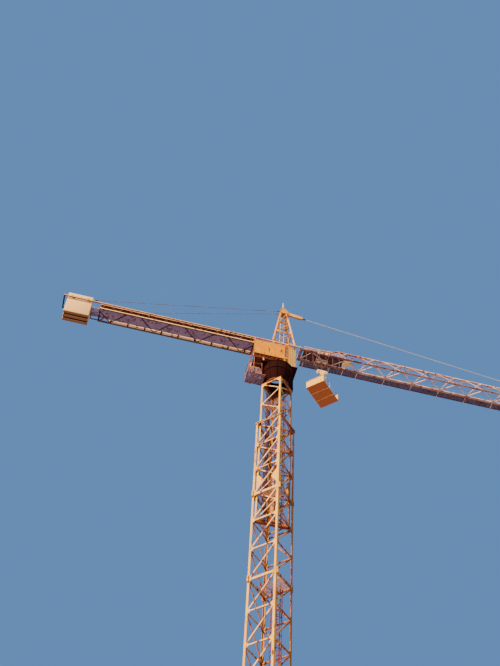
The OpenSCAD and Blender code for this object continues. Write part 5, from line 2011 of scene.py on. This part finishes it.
@dataclass
class HookBlock:
    """The hook block, the hook, the slings and the load bin."""

    sheave_r: float = 0.165
    sheave_w: float = 0.06
    hub_r: float = 0.045
    hook_r: float = 0.09
    hook_wire: float = 0.026
    sling_wire: float = 0.0045
    sling_r: float = 0.014
    bin_turn: float = CORNER_ON
    bin_half_l: float = 0.95
    bin_half_w: float = 0.625
    seam: float = 0.03

    @property
    def middle(self) -> float:
        """Where the hook block hangs along the jib."""
        return (low("hook_block").x + high("hook_block").x) / 2

    def on_bin(self, x: float, y: float, z: float) -> Vector:
        """A point at x and y in the load bin's own plan, at height z."""
        return Matrix.Rotation(self.bin_turn, 3, "Z") @ Vector((x, y, 0)) + Vector((self.middle, 0, z))

    def corner(self, sx: int, sy: int, z: float, inset: float = 0.0) -> Vector:
        """A corner of the load bin at height z."""
        return self.on_bin(sx * (self.bin_half_l - inset), sy * (self.bin_half_w - inset), z)

    def sheaves(self) -> None:
        """Adds the two block sheaves, their pins and the tie bolts of the cheeks."""
        a, b = span("block_sheaves")
        z = (a.z + b.z) / 2
        wheels = Piece("block_rope_sheaves", CREAM_ENAMEL, Body.BLOCK)
        pins = Piece("block_pins", DARK_STEEL, Body.BLOCK)
        for x in (a.x + self.sheave_r, b.x - self.sheave_r):
            wheels.sheave((x, 0, z), self.sheave_r, self.sheave_w, self.hub_r)
            pins.pin((x, 0, z), 0.062, 0.026, (0.054, 0.07, 0.042))
        for (out, drop), s in product(((-0.25, 0.06), (0.25, 0.06), (-0.06, 0.25), (0.06, 0.25)), SIDES):
            x, level = self.middle + out, z - drop
            pins.rod((x, s * 0.053, level), (x, s * 0.064, level), 0.016, 6)
        wheels.done("block_sheaves", smooth=True)
        pins.done(smooth=True)

    def hook(self) -> None:
        """Adds the forged hook with its shank nut and its safety latch."""
        centre = Vector((self.middle, 0, high("hook").z - 0.13))
        piece = Piece("forged_hook", DARK_STEEL, Body.BLOCK)
        r, wire, steps = self.hook_r, self.hook_wire, 18
        path = [centre + UP * 0.13, centre + UP * 0.11]
        radii = [wire, wire + 0.001]
        for k in range(steps + 1):
            turn = math.radians(90 + 270 * k / steps)
            path.append(centre + Vector((r * math.cos(turn), 0, r * math.sin(turn))))
            radii.append(wire + 0.007 * math.sin(math.pi * min(1.0, k / 16)))
        radii[-1] -= 0.011
        path.append(centre + Vector((r + 0.012, 0, 0.03)))
        radii.append(0.009)
        piece.hose(path, radii, 14)
        piece.turned([(0, 0), (0.05, 0), (0.055, 0.006), (0.055, 0.034), (0.05, 0.04), (0, 0.04)],
                     centre + UP * 0.09, UP, 8)
        latch = [centre + Vector((-0.01, 0, 0.078)), centre + Vector((0.085, 0, 0.022))]
        piece.chain(latch, 0.016, 0.006, 0.002)
        piece.done("hook", smooth=True)

    def slings(self) -> None:
        """Adds the ring, the four wire slings with their ferrules, and the shackles on the bin."""
        a, b = span("slings")
        wires = Piece("wire_slings", TIE_STEEL, Body.BLOCK)
        metal = Piece("sling_ring_and_shackles", DARK_STEEL, Body.BLOCK)
        x, ring_z, half = self.middle, b.z - 0.082, 0.032
        meet = ring_z - 0.07
        metal.ring((x, 0, ring_z), ALONG, 0.07, 0.012)
        metal.brick((x - half, -half, meet - 0.05), (x + half, half, meet + 0.006), 0.012, 2)
        centre = Vector((x, 0, meet - 0.03))
        for sx, sy in product(SIDES, SIDES):
            top = centre + (self.corner(sx, sy, centre.z) - centre).normalized() * 0.02
            foot, pad = self.corner(sx, sy, a.z + 0.05, 0.035), self.corner(sx, sy, a.z, 0.035)
            run = (foot - top).normalized()
            wires.strands(top, foot - run * 0.05, self.sling_wire, 0.16, 3, 8)
            for start, end in ((top + run * 0.03, top + run * 0.16), (foot - run * 0.2, foot - run * 0.07)):
                metal.rod(start, end, self.sling_r, 10, bevel=0.003)
            metal.ring(foot - run * 0.035, Vector((run.y, -run.x, 0)).normalized(), 0.032, 0.008, 16)
            metal.rod(pad, pad + UP * 0.024, 0.04, 12, 0.034)
        wires.done("slings", smooth=True)
        metal.done(smooth=True)

    def bin_trim(self) -> None:
        """Adds the rim, the side and end seams and the skid caps of the load bin."""
        foot, top = (corner.z for corner in span("load_bin"))
        rim = Piece("bin_rim", BIN_CREAM, Body.BLOCK)
        corners = [self.corner(sx, sy, top - 0.015) for sx, sy in ((1, -1), (1, 1), (-1, 1), (-1, -1))]
        rim.chain(corners, 0.05, 0.03, 0.006)
        end, side = self.bin_half_l + 0.004, self.bin_half_w + 0.004
        seams = [*product((-end, end), (-0.2, 0.2)), *product((-0.6, -0.2, 0.2, 0.6), (side,))]
        for x, y in seams:
            rim.beam(self.on_bin(x, y, foot + 0.06), self.on_bin(x, y, top - 0.02),
                     self.seam, self.seam, 0.005, self.bin_turn)
        rim.done()
        skids = Piece("bin_skid_caps", CREAM_ENAMEL, Body.BLOCK)
        out, z = self.bin_half_w + 0.01, foot + 0.012
        for x in (-self.bin_half_l / 3, self.bin_half_l / 3):
            skids.beam(self.on_bin(x, -out, z), self.on_bin(x, out, z), 0.026, 0.03, 0.008)
        skids.done()

    def guard(self) -> None:
        """Adds the bent tube guard on the open side."""
        a, b = span("bin_guard")
        piece = Piece("bin_guard_tube", GUARD_BLUE, Body.BLOCK)
        y, top, left, right = -self.bin_half_w + 0.025, b.z - 0.02, -0.62, -0.14
        bend = [(0, -0.12), (0.015, -0.05), (0.05, -0.012), (0.1, 0)]
        path = [(left, a.z), *((left + x, top + z) for x, z in bend),
                *((right - x, top + z) for x, z in reversed(bend)), (right, a.z)]
        piece.hose([self.on_bin(x, y, z) for x, z in path], 0.028, 10)
        piece.hose([self.on_bin(x, y, a.z + 0.45) for x in (left, right)], 0.014, 8)
        piece.done("bin_guard", smooth=True)

    def build(self) -> None:
        """Builds the hook block and all that hangs on it."""
        self.sheaves()
        self.hook()
        self.slings()
        self.bin_trim()
        self.guard()


NODE_FINISHES: dict[str, Finish] = {name: finish for finish, names in (
    (DARK_STEEL, "base_plate trolley_wheels hook"),
    (LACING_OCHRE, "base_cross base_shoes inner_lacing"),
    (LACING_OCHRE, "mast_lacing_1 mast_lacing_2 mast_lacing_3 mast_lacing_4"),
    (MAST_CREAM, "mast_posts_1 mast_posts_2 mast_posts_3 mast_posts_4 inner_posts"),
    (RED_OXIDE, "mast_ladder mast_guides inner_foot_beam inner_ladder mast_head weight_bars"),
    (MAROON_WITH_PAINTED_SHADE, "slew_pedestal slew_deck counter_bracing"),
    (GIRDER_OCHRE, "slew_frame"),
    (PLATFORM_BROWN, "service_platform"),
    (PANEL_YELLOW, "sign_panel operator_cab"),
    (HEAD_OCHRE, "cathead cathead_head"),
    (WHITE_ENAMEL, "cathead_rod"),
    (ROOT_BROWN, "jib_root"),
    (JIB_RED, "jib_section_1 jib_section_2 jib_section_3 jib_tip trolley_frame"),
    (CATWALK_BROWN, "catwalk"),
    (DECK_MAROON, "winch_deck"),
    (WINCH_GREY, "hoist_winch"),
    (PALE_YELLOW_WITH_PAINTED_LIGHT, "trolley_winch"),
    (TIE_STEEL, "jib_tie counter_ties slings"),
    (GIRDER_BROWN_AND_SHADE, "counter_girder_near counter_girder_far"),
    (DECK_GREY_AND_SHADE, "counter_floor"),
    (CONCRETE, "counterweights"),
    (ROPE_STEEL, "rope_falls"),
    (CREAM_ENAMEL, "trolley_sheaves hook_block block_sheaves"),
    (BIN_CREAM, "load_bin"),
    (GUARD_BLUE, "bin_guard")) for name in names.split()}


def finish_nodes() -> None:
    """Gives every CAD node the finish of the real piece."""
    for name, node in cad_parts.items():
        node.data.materials.clear()
        node.data.materials.append(NODE_FINISHES[name].make())


@dataclass
class Studio:
    """The floor, the lights and the camera at the photograph's viewing angle."""

    floor_r: float = 8.0
    sun_azimuth: float = math.radians(38)
    sun_height: float = math.radians(27)
    sun_strength: float = 9.0
    sky_strength: float = 0.42
    sky: str = "#E4E2E6"
    backdrop: str = "#5C86BE"
    backdrop_strength: float = 1.1
    lens: float = 54.05
    sensor: float = 36.0
    heading: float = math.radians(10.46)
    pitch: float = math.radians(53.57)
    roll: float = math.radians(4.21)
    eye: tuple[float, float, float] = (-9.06, -38.54, -51.54)
    eye_above_deck: float = 1.84

    def floor(self) -> None:
        """Lays a plain pale disc under the base."""
        mesh = bmesh.new()
        bmesh.ops.create_circle(mesh, cap_ends=True, segments=96, radius=self.floor_r)
        bmesh.ops.translate(mesh, verts=list(mesh.verts), vec=(0, 0, -0.002))
        data = bpy.data.meshes.new("studio_floor")
        mesh.to_mesh(data)
        mesh.free()
        data.materials.append(PaleFloor("matt studio floor", "grating").make())
        disc = bpy.data.objects.new("studio_floor", data)
        bpy.context.scene.collection.objects.link(disc)

    def lights(self) -> None:
        """Sets a warm low key light, a weak one in front, light from the ground, and a plain backdrop."""
        for name, turn, height, strength, colour, angle in (
                ("key", self.sun_azimuth, self.sun_height, self.sun_strength, "#FFCF94", 4),
                ("fill", math.radians(100), math.radians(15), 0.2, "#FFDCB4", 30),
                ("bounce", math.radians(60), math.radians(-48), 1.2, "#FFD0BC", 40)):
            light = bpy.data.lights.new(name, "SUN")
            light.energy = strength
            light.angle = math.radians(angle)
            light.color = linear(colour)[:3]
            lamp = bpy.data.objects.new(name, light)
            bpy.context.scene.collection.objects.link(lamp)
            level = math.cos(height)
            towards = Vector((-math.cos(turn) * level, -math.sin(turn) * level, math.sin(height)))
            lamp.rotation_euler = towards.to_track_quat("Z", "Y").to_euler()
        world = bpy.data.worlds.new("studio")
        bpy.context.scene.world = world
        world.use_nodes = True
        tree = world.node_tree
        tree.nodes.clear()
        seen, lit = (add_node(tree, "ShaderNodeBackground", {"Color": linear(colour), "Strength": strength})
                     for colour, strength in ((self.backdrop, self.backdrop_strength),
                                              (self.sky, self.sky_strength)))
        path = add_node(tree, "ShaderNodeLightPath")
        both = add_node(tree, "ShaderNodeMixShader", {
            0: path.outputs["Is Camera Ray"], 1: lit.outputs[0], 2: seen.outputs[0]})
        add_node(tree, "ShaderNodeOutputWorld", {"Surface": both.outputs[0]})

    def camera(self) -> None:
        """Places the camera as the photographer stood, looking up along the mast."""
        data = bpy.data.cameras.new("camera")
        data.lens, data.sensor_width = self.lens, self.sensor
        level = high("slew_deck").z + self.eye_above_deck
        forward = Vector((math.sin(self.heading), math.cos(self.heading), 0))
        right = Vector((forward.y, -forward.x, 0))
        look = math.cos(self.pitch) * forward + math.sin(self.pitch) * UP
        top = (UP - look * UP.dot(look)).normalized()
        x_axis = math.cos(self.roll) * right + math.sin(self.roll) * top
        y_axis = -math.sin(self.roll) * right + math.cos(self.roll) * top
        place = Matrix((x_axis, y_axis, -look)).transposed().to_4x4()
        place.translation = Vector(self.eye) + UP * level
        camera = bpy.data.objects.new("camera", data)
        camera.matrix_world = place
        bpy.context.scene.collection.objects.link(camera)
        bpy.context.scene.camera = camera

    def build(self) -> None:
        """Builds the studio."""
        self.floor()
        self.lights()
        self.camera()


def main() -> None:
    """Builds the studio and dresses the crane from the ground up."""
    logging.basicConfig(level=logging.INFO, format="%(message)s")
    Studio().build()
    finish_nodes()
    for part in (FixedMast(), ClimbingMast(), SlewingGear(), CabAndPanel(), TowerHead(), Jib(), CounterJib(),
                 Trolley(), HookBlock()):
        part.build()


if __name__ == "__main__":
    main()
